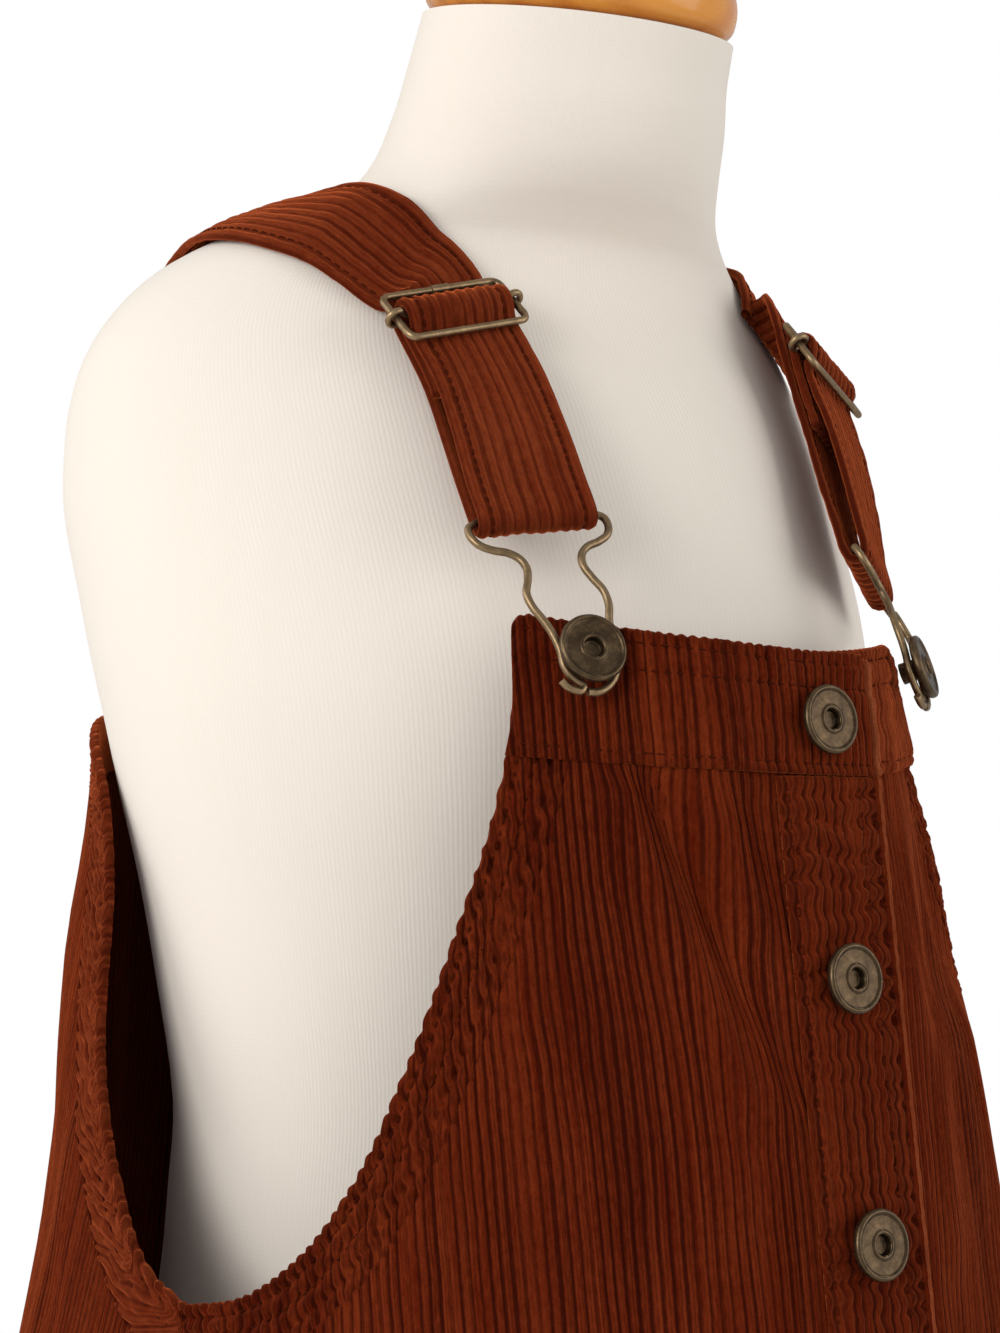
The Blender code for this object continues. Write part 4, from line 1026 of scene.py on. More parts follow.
@dataclass(frozen=True)
class Wales:
    """The corduroy's ridges."""

    pitch: float = 2.4 * MM
    depth: float = 0.62 * MM
    wander: float = 0.12
    tremble: float = 0.05

    def rise(self, phase: Array) -> Array:
        """Return the pile's height at a place across, in wales: nought on a ridge."""
        return -self.depth * np.sin(math.pi * phase) ** 2

    def drift(self, across: Array, along: Array, seed: int) -> Array:
        """Return how far the ridges stray, in wales, at a place in metres across and along."""
        broad = ripple(across / 0.045, along / 0.090, seed)
        return self.wander * broad + self.tremble * ripple(across / 0.011, along / 0.018, seed + 1)


@dataclass(frozen=True)
class StitchRow:
    """A row of lockstitch that dimples the pile.

    The dimples of one row are counted along it from the same start as its threads.
    """

    pitch: float = 3.0 * MM
    width: float = 0.75 * MM
    depth: float = 0.42 * MM

    def dimple(self, distance: Array, along: Array) -> Array:
        """Give the dimples' depth, below nought.

        Args:
            distance: Distance from the row.
            along: Distance along it.

        Returns:
            The relief.
        """
        pull = 0.62 + 0.38 * np.cos(FULL_TURN * along / self.pitch)
        swell = bell(np.abs(distance) - 2.3 * self.width, self.width)
        return self.depth * (0.25 * swell - bell(distance, self.width) * pull)


# Threads ----------------------------------------


@dataclass
class Threads:
    """Every stitch of one group, as short arched lengths of thread."""

    name: str
    radius: float = 0.18 * MM
    share: float = 0.74
    dip: float = 0.5 * MM
    stops: tuple[float, ...] = (0.0, 0.22, 0.78, 1.0)
    sinks: tuple[float, ...] = (1.0, 0.08, 0.08, 1.0)
    lengths: list[Array] = field(default_factory=list)

    def sew(self, line: Array, outward: Array, pitch: float) -> None:
        """Add the stitches of one row.

        Args:
            line: Points along the row, level with the thread's crowns.
            outward: Outward direction at each point.
            pitch: Length of a stitch with its gap.
        """
        travel = travelled(line)
        starts = (np.arange(int(travel[-1] // pitch)) + (1 - self.share) / 2)[:, None] * pitch
        where = starts + np.array(self.stops)[None] * pitch * self.share
        sink = read_rows(where, travel, outward) * (np.array(self.sinks) * self.dip)[:, None]
        self.lengths += list(read_rows(where, travel, line) - sink)

    def make(self, material: Material) -> Item:
        """Make every stitch of the group."""
        return wear(round_wire(self.name, self.lengths, self.radius, 0), material, "corduroy")


# Fronts and back ----------------------------------------


@dataclass
class DressBody:
    """Fronts, back, bands and hems, cut on the hanging cloth."""

    cloth: HangingCloth
    wales: Wales
    threads: Threads
    finish: Material
    # The lighter copy of the corduroy: partly wear of the nap, partly painted light.
    rubbed_and_lit: Material
    # The folded edge's lighter copy of the corduroy: paler nap and a painted highlight.
    faded_and_lit: Material
    thickness: float = 1.7 * MM
    overlay: float = 1.5 * MM
    turned: float = 2.6 * MM
    seam: float = 0.3 * MM
    top_button: float = 0.860
    button_spacing: float = 62 * MM
    hem: float = 0.386
    foot_hem: float = 26 * MM
    arm_hem: float = 16 * MM
    band: float = 30.5 * MM
    band_side: float = 35 * MM
    bib_rise: float = 17.5 * MM
    back_rise: float = 8 * MM
    lap_edge: float = 19 * MM
    lap_under: float = 14.5 * MM
    band_wale: float = 2.6 * MM
    placket_wale: float = 2.85 * MM
    corner: float = 5 * MM
    far_drop: float = 4.5 * MM
    far_reach: float = 34 * MM
    edge_fold: float = 0.95 * MM
    edge_width: float = 1.1 * MM
    seam_share: float = 0.43
    seam_swing: float = 80 * MM
    side_gap: float = -0.6 * MM
    seam_reach: float = 4 * MM
    seam_dip: float = 0.5 * MM
    tuck: float = 1.2 * MM
    back_band_edge: float = 285.8 * MM
    row_bend: float = 1.4
    fine: float = 0.6 * MM
    panel_rows: int = 96
    back_rows: int = 50
    hem_rows: tuple[float, ...] = (3.2 * MM, 7.2 * MM, 11.2 * MM)
    band_rows: tuple[float, ...] = (3.2 * MM, 9.2 * MM)
    placket_rows: tuple[float, ...] = (2.7 * MM, 8.4 * MM)
    edge_row: float = 2.6 * MM
    foot_row: float = 2 * MM
    stitch: StitchRow = field(default_factory=StitchRow)
    front_armhole: Table = (
        # girth, height
        (0.0748, 0.8865),
        (0.0770, 0.8600),
        (0.0833, 0.8380),
        (0.0942, 0.8110),
        (0.1100, 0.7765),
        (0.1232, 0.7535),
        (0.1381, 0.7361),
        (0.1540, 0.7255),
        (0.1718, 0.7220),
    )
    back_armhole: Table = (
        # girth, height
        (0.1718, 0.7220),
        (0.1840, 0.7285),
        (0.1968, 0.7450),
        (0.2060, 0.7640),
        (0.2100, 0.7850),
        (0.2095, 0.8080),
        (0.2090, 0.8300),
        (0.2130, 0.8460),
        (0.2245, 0.8570),
        (0.2430, 0.8640),
        (0.2640, 0.8680),
        (0.2830, 0.8705),
    )

    def __post_init__(self) -> None:
        """Work out the levels and the smooth edges of the armholes."""
        self.bib_top = self.top_button + self.bib_rise
        self.back_top = self.top_button + self.back_rise
        self.band_foot = self.bib_top - self.band
        self.front_edge = along_curve(self.front_armhole, 600)
        self.back_edge = along_curve([(-girth, height) for girth, height in self.back_armhole[::-1]], 700)

    def seam_girth(self, height: Array) -> Array:
        """Return where the side seam runs."""
        girth, top = self.front_armhole[-1]
        drop = ease((top - height) / self.seam_swing)
        share = girth / self.cloth.half(top)
        return self.cloth.half(height) * (share * (1 - drop) + self.seam_share * drop)

    @staticmethod
    def inset(edge: Array, distance: float) -> Array:
        """Return an edge of girths and heights, moved a distance into the cloth on its right."""
        ways = unit(np.gradient(edge, axis=0))
        return edge + np.stack([ways[:, 1], -ways[:, 0]], 1) * distance

    def row_height(
        self, girth: Array, edge: Array, rise: Array, centre: Array
    ) -> Array:
        """Return the height on a row from its centre height to its rise at the outer edge's girth."""
        return centre + (rise - centre) * (np.clip(girth, 0, None) / edge) ** self.row_bend

    def lap(self, side: Side) -> tuple[float, float]:
        """Return the girths of the placket's inner and outer edge."""
        if side is RIGHT:
            return -self.lap_edge, self.lap_under
        return -self.lap_under, self.lap_edge

    def columns(self, start: float, end: float) -> Array:
        """Space columns so that each wale has its ridge, its flanks and its hollow.

        Args:
            start: First place.
            end: Last place.

        Returns:
            The places.
        """
        quarter = self.wales.pitch / 4
        numbers = np.arange(math.ceil(start / quarter + 0.3), math.floor(end / quarter - 0.3) + 1)
        return np.concatenate([[start], numbers * quarter, [end]])

    def make_panel(self, side: Side) -> None:
        """Make a front panel from bib to hem, with its turned foot.

        Args:
            side: Which front.
        """
        inner, _ = self.lap(side)
        start = self.inset(self.front_edge, self.arm_hem - self.tuck)
        start = start[start[:, 0] < self.seam_girth(start[:, 1]) - self.side_gap / 2]
        low = np.linspace(start[-1, 1], self.hem, 80)[1:]
        seam = np.stack([self.seam_girth(low) - self.side_gap / 2, low], 1)
        outline = np.concatenate([start, seam])
        girths = self.columns(inner, seam[-1, 0])
        edge, rise = self.front_armhole[0]
        tops = np.interp(girths, outline[:, 0], outline[:, 1])
        tucked = self.row_height(girths, edge, rise, self.bib_top) - 1.5 * MM
        tops = np.where(girths < outline[0, 0], tucked, tops)
        shares = edged(0, 1, 1 / self.panel_rows, (0.0, 1.5, 4.0))
        height = tops[None] * (1 - shares[:, None]) + self.hem * shares[:, None]
        rest = np.broadcast_to(girths, height.shape)
        from_seam = self.seam_girth(height) - self.side_gap / 2 - rest
        calm = ease((rest - inner) / 0.004) * ease(from_seam / 0.004)
        sign = np.full(height.shape, float(side.value))
        drift = self.wales.drift(rest, height, 11 + side.value) * self.wales.pitch * calm
        drift = drift + self.cloth.gathered(sign, rest, height)
        phase = rest / self.wales.pitch
        lift = self.wales.rise(phase) * (0.85 + 0.40 * ripple(rest / 0.012, height / 0.060, 13 + side.value))
        lift = lift - rounded(np.minimum(rest - inner, from_seam), 0.8 * MM)
        lift = lift - rounded(height - self.hem, 0.9 * MM)
        lift = lift - self.seam_dip * bell(from_seam - 1 * MM, 2.5 * MM) * (height < start[-1, 1])
        lift = lift + self.stitch.dimple(height - self.hem - self.foot_hem + self.foot_row, rest)
        outer, within = self.cloth.lifted(sign, rest + drift, height, lift, -self.thickness)
        name = f"front_{side.word}"
        item = shell_object(name, outer, within, np.stack([phase, height], -1))
        wear(item, self.finish, "corduroy", name, f"foot_hem_{name}")
        area = area_under(tops - self.hem, girths)
        float(girths[-1] - inner)
        float(tops.max() - self.hem)
        last = self.seam_girth(self.hem + self.foot_hem) - self.foot_row
        level = self.hem + self.foot_hem - self.foot_row
        self.sew(side, np.linspace(inner + self.foot_row, last, 400), np.full(400, level), -0.5 * MM)

    def sew(self, side: Side | None, girth: Array, height: Array, lift: float) -> None:
        """Sew one row of stitches on the hanging cloth.

        Args:
            side: The side, or None where the girth's sign tells it.
            girth: Girths along the row.
            height: Heights along the row.
            lift: Lift of the thread's crowns.
        """
        sign = np.sign(girth) if side is None else np.full(girth.shape, float(side.value))
        girth = np.abs(girth) if side is None else girth
        line = self.cloth.lifted(sign, girth, height, lift)[0]
        self.threads.sew(line, self.cloth.normal(sign, girth, height), self.stitch.pitch)

    def make_bib_band(self, side: Side) -> None:
        """Make one half of the band along the bib's top.

        Args:
            side: Which half.
        """
        inner, _ = self.lap(side)
        down = edged(0, self.band, self.fine)
        share = down / self.band
        reach = np.searchsorted(travelled(self.front_edge), share * self.band_side)
        edge, rise = self.front_edge[reach, 0][:, None], self.front_edge[reach, 1][:, None]
        across = edged(0, float(self.front_edge[0, 0] - inner), 0.45 * MM)
        across = across / across[-1]
        girth = inner + (edge - inner) * across[None]
        height = self.row_height(girth, edge, rise, (self.bib_top - down)[:, None])
        inward, outward = girth - inner, edge - girth
        ends = rounded(inward, self.corner) + rounded(outward, self.corner)
        ends = ends + (0 if side is RIGHT else self.far_drop) * ease(1 - outward / self.far_reach)
        height = height - ends * (1 - share[:, None])
        from_top, from_foot = down[:, None] + 0 * girth, self.band - down[:, None] + 0 * girth
        phase = girth / self.band_wale + self.wales.drift(girth, height, 31 + side.value)
        sign = np.full(height.shape, float(side.value))
        pile = self.wales.rise(phase) * (0.8 + 0.35 * ripple(girth / 0.010, height / 0.020, 35))
        nearest = np.minimum(np.minimum(inward, outward), np.minimum(from_top, from_foot))
        radius = np.where(from_foot < 5 * MM, 0.45 * MM, 1.0 * MM)
        lift = self.seam + self.overlay + pile - rounded(nearest, radius)
        for row in self.band_rows:
            lift = lift + self.stitch.dimple(from_top - row, girth + 1 * MM) * 1.3
        lift = lift + self.stitch.dimple(from_foot - self.edge_row, girth)
        lift = lift - 0.9 * MM * ease(1 - from_foot / (2.4 * MM)) * ease((inward - 38 * MM) / (4 * MM))
        lift = lift + 0.34 * MM * ripple(girth / 0.010, height / 0.009, 33) * ease(from_top / 0.003)
        if side is RIGHT:
            lift = lift + self.folded_edge(inward)
        scallop = 0.55 * MM * (1 - np.abs(np.cos(math.pi * phase))) * ease(1 - from_top / (2.5 * MM))
        height = height - scallop * ease(np.minimum(inward, outward) / self.corner)
        outer, within = self.cloth.lifted(sign, girth, height, lift, self.seam)
        name = f"bib_band_{side.word}"
        item = shell_object(name, outer, within, np.stack([phase, height], -1))
        # Painted light: the left half of the band takes the lighter copy of the corduroy for the extra light
        # it catches.
        wear(item, self.finish if side is RIGHT else self.rubbed_and_lit, "corduroy", name)
        if side is RIGHT:
            self.fade_and_light_edge(item)
        float(self.front_edge[0, 0] - inner)
        level = self.seam + self.overlay - 0.42 * MM
        for row in (*self.band_rows, self.band - self.edge_row):
            index = int(np.argmin(np.abs(down - row)))
            keep = (inward[index] > 2.5 * MM) & (outward[index] > 2 * MM)
            self.sew(side, girth[index][keep], height[index][keep], level)

    def fade_and_light_edge(self, item: Item) -> None:
        """Give the right front's folded edge its lighter corduroy: paler nap, with a painted highlight where
        the edge catches the light.

        Args:
            item: The band or placket the edge belongs to.
        """
        item.data.materials.append(self.faded_and_lit)
        centres = np.empty(3 * len(item.data.polygons))
        item.data.polygons.foreach_get("center", centres)
        # Painted highlight: faces along the folded edge take the lighter material.
        on_edge = centres[::3] > self.lap_edge - self.edge_width
        item.data.polygons.foreach_set("material_index", on_edge.astype(np.int32))

    def folded_edge(self, distance: Array) -> Array:
        """Return how far the right front's folded edge stands proud."""
        return self.edge_fold * bell(distance - 1.1 * MM, 0.8 * MM)

    def make_placket(self, side: Side) -> None:
        """Make a placket band, its wales pinched and waved between the buttons.

        Args:
            side: Which band; the right one lies on top.
        """
        inner, outer_edge = self.lap(side)
        shown = side is RIGHT
        foot = self.hem if shown else self.hem + self.foot_hem
        across = edged(inner, outer_edge, self.fine if shown else 1.5 * MM)
        down = edged(0, self.band_foot - self.seam - foot, (0.95 if shown else 2.4) * MM)
        girth, fall = np.meshgrid(across, down)
        height = self.band_foot - self.seam - fall
        half = self.button_spacing / 2
        button = (self.top_button - height + half) % self.button_spacing - half
        near, under = bell(button, 11 * MM), bell(fall - 16 * MM, 13 * MM)
        inward, outward = girth - inner, outer_edge - girth
        between = ease((inward - 3 * MM) / (3 * MM)) * ease((outward - 3 * MM) / (3 * MM))
        strength = 0.50 + 1.10 * under + 0.45 * near + 0.25 * ripple(girth / 0.05, height / 0.06, 40)
        strength = np.clip(strength, 0.15, 1.7)
        edge_distance = inward if side is RIGHT else outward
        beside = 0.6 + 0.6 * ease(1 - (edge_distance - 3 * MM) / (11 * MM))
        wave = np.sin(FULL_TURN * (height / 0.0086 + 0.55 * ripple(girth / 0.024, height / 0.030, 41)))
        phase = girth / self.placket_wale + 0.15 * wave * strength * between
        phase = phase + self.wales.drift(girth, height, 43) * 0.5
        bars = np.sin(FULL_TURN * (height / 0.0068 + 0.32 * ripple(girth / 0.024, height / 0.024, 45)))
        bars = 1.5 * np.clip(-bars, 0, 1) - 0.5 * np.clip(bars, 0, 1)
        pinched = np.clip(bars * strength * beside, -0.5, 1.3) * MM
        if side is RIGHT:
            pinched = pinched * ease((inward - 1.5 * MM) / (2.5 * MM))
        sign = np.full(height.shape, float(side.value))
        lift = self.seam + self.overlay + self.wales.rise(phase) - pinched
        lift = lift - rounded(np.minimum(np.minimum(inward, outward), height - foot), 1.0 * MM)
        lift = lift - rounded(fall, 0.4 * MM)
        if side is RIGHT:
            lift = lift + self.folded_edge(inward)
        for row in self.placket_rows:
            lift = lift + self.stitch.dimple(edge_distance - row, height) * 0.6
        sewn, free = (outer_edge, inner) if side is RIGHT else (inner, outer_edge)
        lift = lift + self.stitch.dimple(girth - sewn - self.edge_row * side.value, height)
        uneven = 0.25 * MM * ripple(height / 0.006, height / 0.02, 47)
        girth = girth + uneven * np.exp(-(np.abs(girth - free) / 0.002))
        outer, within = self.cloth.lifted(sign, girth, height, lift, self.seam)
        name = f"placket_{side.word}"
        item = shell_object(name, outer, within, np.stack([phase, height], -1))
        wear(item, self.finish, "corduroy", name)
        if side is RIGHT:
            self.fade_and_light_edge(item)
        outer_edge - inner
        level = self.seam + self.overlay - 0.45 * MM
        heights = np.linspace(self.band_foot - 1.5 * MM, foot + 1.5 * MM, 700)
        if side is RIGHT:
            for row in (*(inner + row for row in self.placket_rows), outer_edge - self.edge_row):
                self.sew(side, np.full(700, row), heights, level)

    def hem_strip(self, name: str, side: Side, edge: Array, start: float, limit: Callable) -> None:
        """Make one armhole hem from the opening's edge into the cloth.

        Args:
            name: The piece's name.
            side: The side.
            edge: The opening's edge, its girths below nought behind.
            start: Distance along the edge at which the hem begins.
            limit: Keeps a girth on this side of the side seam.
        """
        last = edge[-1:] - edge[-2:-1]
        edge = np.concatenate([edge, edge[-1:] + last * (self.seam_reach / travelled(edge[-2:])[-1])])
        travel = travelled(edge)
        along = edged(start, float(travel[-1]), self.fine)
        line = read_rows(along, travel, edge)
        across = edged(0, self.arm_hem, self.fine)
        strayed = across[None] + 0 * along[:, None]
        run = along[:, None] + 0 * across[None]
        ways = unit(np.gradient(line, axis=0))
        turn = np.stack([ways[:, 1], -ways[:, 0]], 1)
        flat = line[:, None] + turn[:, None] * strayed[..., None]
        twist = 0.14 * ripple(run / 0.007, strayed / 0.006, 57)
        for sign, row in zip((1, -1, 1), self.hem_rows):
            twist = twist + 0.30 * sign * ease((strayed - row) / (1.2 * MM) + 0.5)
        behind = flat[..., 0] < 0
        girths = limit(np.abs(flat[..., 0]), flat[..., 1])
        base = np.where(behind, self.cloth.half(flat[..., 1]) - girths, girths)
        phase = base / self.wales.pitch + twist + self.wales.drift(base, flat[..., 1], 51) * 0.5
        plait = run / (4.6 * MM) + np.abs(strayed - 4.2 * MM) / (3.0 * MM)
        plait = plait + 0.3 * ripple(run / 0.011, strayed / 0.009, 59)
        phase = np.where(behind, plait, phase)
        pile = self.wales.rise(phase) * np.where(behind, 1.25, 1.0)
        scallop = -pile * 0.9 * ease(1 - strayed / (2.5 * MM))
        flat = flat + turn[:, None] * scallop[..., None]
        girth, height = limit(np.abs(flat[..., 0]), flat[..., 1]), flat[..., 1]
        sign = np.full(height.shape, float(side.value))
        at_back = edge[0, 0] < 0
        shown = 1.0 if at_back else ease((run - start - 24 * MM) / 0.006)
        lift = pile - rounded(np.minimum(strayed, self.arm_hem - strayed), 1.1 * MM)
        for number, row in enumerate(self.hem_rows):
            sunk = np.where(behind, 0.9, 2.8 - 0.4 * number)
            lift = lift + self.stitch.dimple(strayed - row, run + number * 1.1 * MM) * sunk
        knobs = ripple(run / 0.0036, strayed / 0.0036, 55) * 0.42 * MM
        rope = run / (6.2 * MM) + strayed / (10 * MM) + 0.25 * ripple(run / 0.02, run / 0.05, 58)
        rope = np.sin(FULL_TURN * rope) * ease(2 - strayed / (5 * MM))
        knobs = np.where(behind, knobs * 0.35 + 0.24 * MM * rope, knobs)
        lift = lift + knobs * ease(strayed / 0.002) * shown
        lift = np.minimum(lift, 0.35 * MM if at_back else 0.05 * MM + 0.35 * MM * shown)
        outer, within = self.cloth.lifted(sign, girth, height, lift, -self.turned)
        item = shell_object(name, outer, within, np.stack([phase, height], -1))
        # Painted light: the back hems take the lighter copy of the corduroy where they face the lamps.
        wear(item, self.rubbed_and_lit if at_back else self.finish, "corduroy", name)
        for row in self.hem_rows[:2]:
            index = int(np.argmin(np.abs(across - row)))
            keep = (along > start + 2 * MM) & (along < along[-1] - 1 * MM)
            self.sew(side, girth[keep, index], height[keep, index], -0.75 * MM)

    def make_armhole_hems(self, side: Side) -> None:
        """Make a side's two armhole hems.

        Args:
            side: Which side.
        """

        def before(girth: Array, height: Array) -> Array:
            """Return the girth, kept in front of the side seam."""
            return np.minimum(girth, self.seam_girth(height) - self.side_gap / 2)

        def behind(girth: Array, height: Array) -> Array:
            """Return the girth, kept behind the side seam."""
            return np.maximum(girth, self.seam_girth(height) + self.side_gap / 2)

        self.hem_strip(f"armhole_hem_front_{side.word}", side, self.front_edge, 5 * MM, before)
        self.hem_strip(f"armhole_hem_back_{side.word}", side, self.back_edge, 0.0, behind)

    def make_back(self) -> None:
        """Make the back panel with its turned foot."""
        turned = self.inset(self.back_edge, self.arm_hem - self.tuck)
        girths = np.maximum(-turned[:, 0], self.seam_girth(turned[:, 1]) + self.side_gap / 2)
        inner = np.stack([self.cloth.half(turned[:, 1]) - girths, turned[:, 1]], 1)
        low = np.linspace(inner[-1, 1], self.hem, 80)[1:]
        seam = np.stack([self.cloth.half(low) - self.seam_girth(low) - self.side_gap / 2, low], 1)
        outline = np.concatenate([inner, seam])
        half = self.columns(0.0, float(seam[-1, 0]))
        reach = np.concatenate([-half[:0:-1], half])
        share = np.clip(np.abs(reach) / outline[0, 0], 0, 1)
        tucked = self.back_top + (outline[0, 1] - self.back_top) * share**2 - 1.5 * MM
        tops = np.interp(np.abs(reach), outline[:, 0], outline[:, 1])
        tops = np.where(np.abs(reach) < outline[0, 0], tucked, tops)
        shares = edged(0, 1, 1 / self.back_rows, (0.0, 2.5, 6.0))
        height = tops[None] * (1 - shares[:, None]) + self.hem * shares[:, None]
        rest = np.broadcast_to(reach, height.shape)
        from_seam = self.cloth.half(height) - self.seam_girth(height) - self.side_gap / 2 - np.abs(rest)
        calm = ease(from_seam / 0.004)
        drift = self.wales.drift(rest, height, 17) * self.wales.pitch * calm
        phase = rest / self.wales.pitch
        sign = np.where(rest + drift < 0, -1.0, 1.0)
        girth = self.cloth.half(height) - np.abs(rest + drift)
        lift = self.wales.rise(phase) - rounded(from_seam, 0.8 * MM) - rounded(height - self.hem, 0.9 * MM)
        lift = lift - self.seam_dip * bell(from_seam - 1 * MM, 2.5 * MM) * (height < inner[-1, 1])
        lift = lift + self.stitch.dimple(height - self.hem - self.foot_hem + self.foot_row, rest)
        outer, within = self.cloth.lifted(sign, girth, height, lift, -self.thickness)
        item = shell_object("back", outer, within, np.stack([phase, height], -1))
        wear(item, self.finish, "corduroy", "back", "foot_hem_back")
        area = area_under(tops - self.hem, reach)
        float(tops.max() - self.hem)
        level = self.hem + self.foot_hem - self.foot_row
        where = np.linspace(0.5 * MM, self.cloth.half(level) - self.seam_girth(level) - self.foot_row, 500)
        for side in Side:
            self.sew(side, self.cloth.half(level) - where, np.full(500, level), -0.5 * MM)

    def make_back_band(self) -> None:
        """Make the band along the back's top."""
        edge_top = float(self.back_edge[0, 1])
        reach_top = float(self.cloth.half(edge_top)) - self.back_band_edge
        down = edged(0, self.band, self.fine * 1.3)
        across = edged(-reach_top, reach_top, self.fine * 1.1) / reach_top
        share = np.broadcast_to(across[None], (len(down), len(across)))
        fall = down[:, None] + 0 * share
        edge, centre = edge_top - fall, self.back_top - fall
        height = centre + (edge - centre) * share**2
        middle = self.cloth.half(height)
        rest = (middle - self.back_band_edge) * share
        phase = rest / self.wales.pitch + self.wales.drift(rest, height, 61) * 0.5
        pile = self.wales.rise(phase)
        ends = (1 - np.abs(share)) * reach_top
        nearest = np.minimum(ends, np.minimum(fall, self.band - fall))
        lift = self.seam + self.overlay + pile - rounded(nearest, 1.0 * MM)
        rows = (*self.band_rows, self.band - self.edge_row)
        for row in rows:
            lift = lift + self.stitch.dimple(fall - row, rest)
        height = height + pile * 0.9 * ease(1 - fall / (2.5 * MM))
        sign = np.where(rest < 0, -1.0, 1.0)
        outer, within = self.cloth.lifted(sign, middle - np.abs(rest), height, lift, self.seam)
        item = shell_object("back_band", outer, within, np.stack([phase, height], -1))
        wear(item, self.finish, "corduroy", "back_band")
        2 * reach_top
        for row in rows:
            index = int(np.argmin(np.abs(down - row)))
            for side in Side:
                keep = (np.sign(rest[index]) == side.value) & (ends[index] > 2 * MM)
                girth = (middle - np.abs(rest))[index][keep]
                self.sew(side, girth, height[index][keep], self.seam + self.overlay - 0.42 * MM)

    def make(self) -> None:
        """Make every cut piece of the body."""
        for side in Side:
            self.make_panel(side)
            self.make_bib_band(side)
            self.make_placket(side)
            self.make_armhole_hems(side)
        self.make_back()
        self.make_back_band()


# Dress form ----------------------------------------


def turned_object(
    name: str, profile: Sequence[tuple[float, float]], steps: int, place: Matrix
) -> Item:
    """Turn an outline about its axis.

    Args:
        name: The piece's name.
        profile: Radius and height from the top's centre to the bottom's.
        steps: Steps round it.
        place: Where it stands.

    Returns:
        The object.
    """
    profile = np.array(profile, float)
    turns = np.linspace(0, FULL_TURN, steps, endpoint=False)
    rings = profile[1:-1]
    levels = np.repeat(rings[:, 1:], steps, axis=1)
    points = np.stack([rings[:, :1] * np.cos(turns), rings[:, :1] * np.sin(turns), levels], -1).reshape(-1, 3)
    number = np.arange(len(rings) * steps).reshape(len(rings), steps)
    after = np.roll(number, -1, axis=1)
    quads = (number[:-1], number[1:], after[1:], after[:-1])
    sides = np.stack([part.ravel() for part in quads], 1)
    top, bottom = len(points), len(points) + 1
    lid = np.stack([np.full(steps, top), number[0], after[0], after[0]], 1)
    floor = np.stack([np.full(steps, bottom), after[-1], number[-1], number[-1]], 1)
    points = np.concatenate([points, [(0, 0, profile[0, 1]), (0, 0, profile[-1, 1])]])
    spots = np.stack([np.arctan2(points[:, 1], points[:, 0]), points[:, 2]], 1)
    faces = np.concatenate([sides, lid, floor]).tolist()
    item = mesh_object(f"{name}_turned", points, faces, "Turned", spots)
    item.data.set_sharp_from_angle(angle=math.radians(38))
    item.matrix_world = place
    return item


def softened(corners: Sequence[tuple[float, float, float]], steps: int = 5) -> list[tuple[float, float]]:
    """Round the corners of an outline.

    Args:
        corners: Radius, height and the corner's own rounding.
        steps: Steps in each rounding.

    Returns:
        The outline's points.
    """
    line = [corners[0][:2]]
    for before, corner, after in zip(corners, corners[1:], corners[2:]):
        here = np.array(corner[:2])
        back, ahead = np.array(before[:2]) - here, np.array(after[:2]) - here
        reach = min(corner[2], 0.49 * float(np.linalg.norm(back)), 0.49 * float(np.linalg.norm(ahead)))
        if reach < 1e-6:
            line.append(tuple(here))
            continue
        first = here + back / np.linalg.norm(back) * reach
        last = here + ahead / np.linalg.norm(ahead) * reach
        for share in np.linspace(0, 1, steps):
            line.append(tuple(first * (1 - share) ** 2 + here * 2 * share * (1 - share) + last * share**2))
    return [*line, corners[-1][:2]]


def turned_corners(rim: float, rows: Table) -> list[Point]:
    """Return corners in metres, from rows in millimetres: in from the rim, up and rounding."""
    return [(rim - inward * MM, up * MM, bend * MM) for inward, up, bend in rows]


def frame_matrix(origin: Vector, across: Vector, up: Vector, outward: Vector) -> Matrix:
    """Make the matrix whose axes are three directions.

    Args:
        origin: Its origin.
        across: Its X.
        up: Its Y.
        outward: Its Z.

    Returns:
        The matrix.
    """
    matrix = Matrix((across, up, outward)).transposed().to_4x4()
    matrix.translation = origin
    return matrix


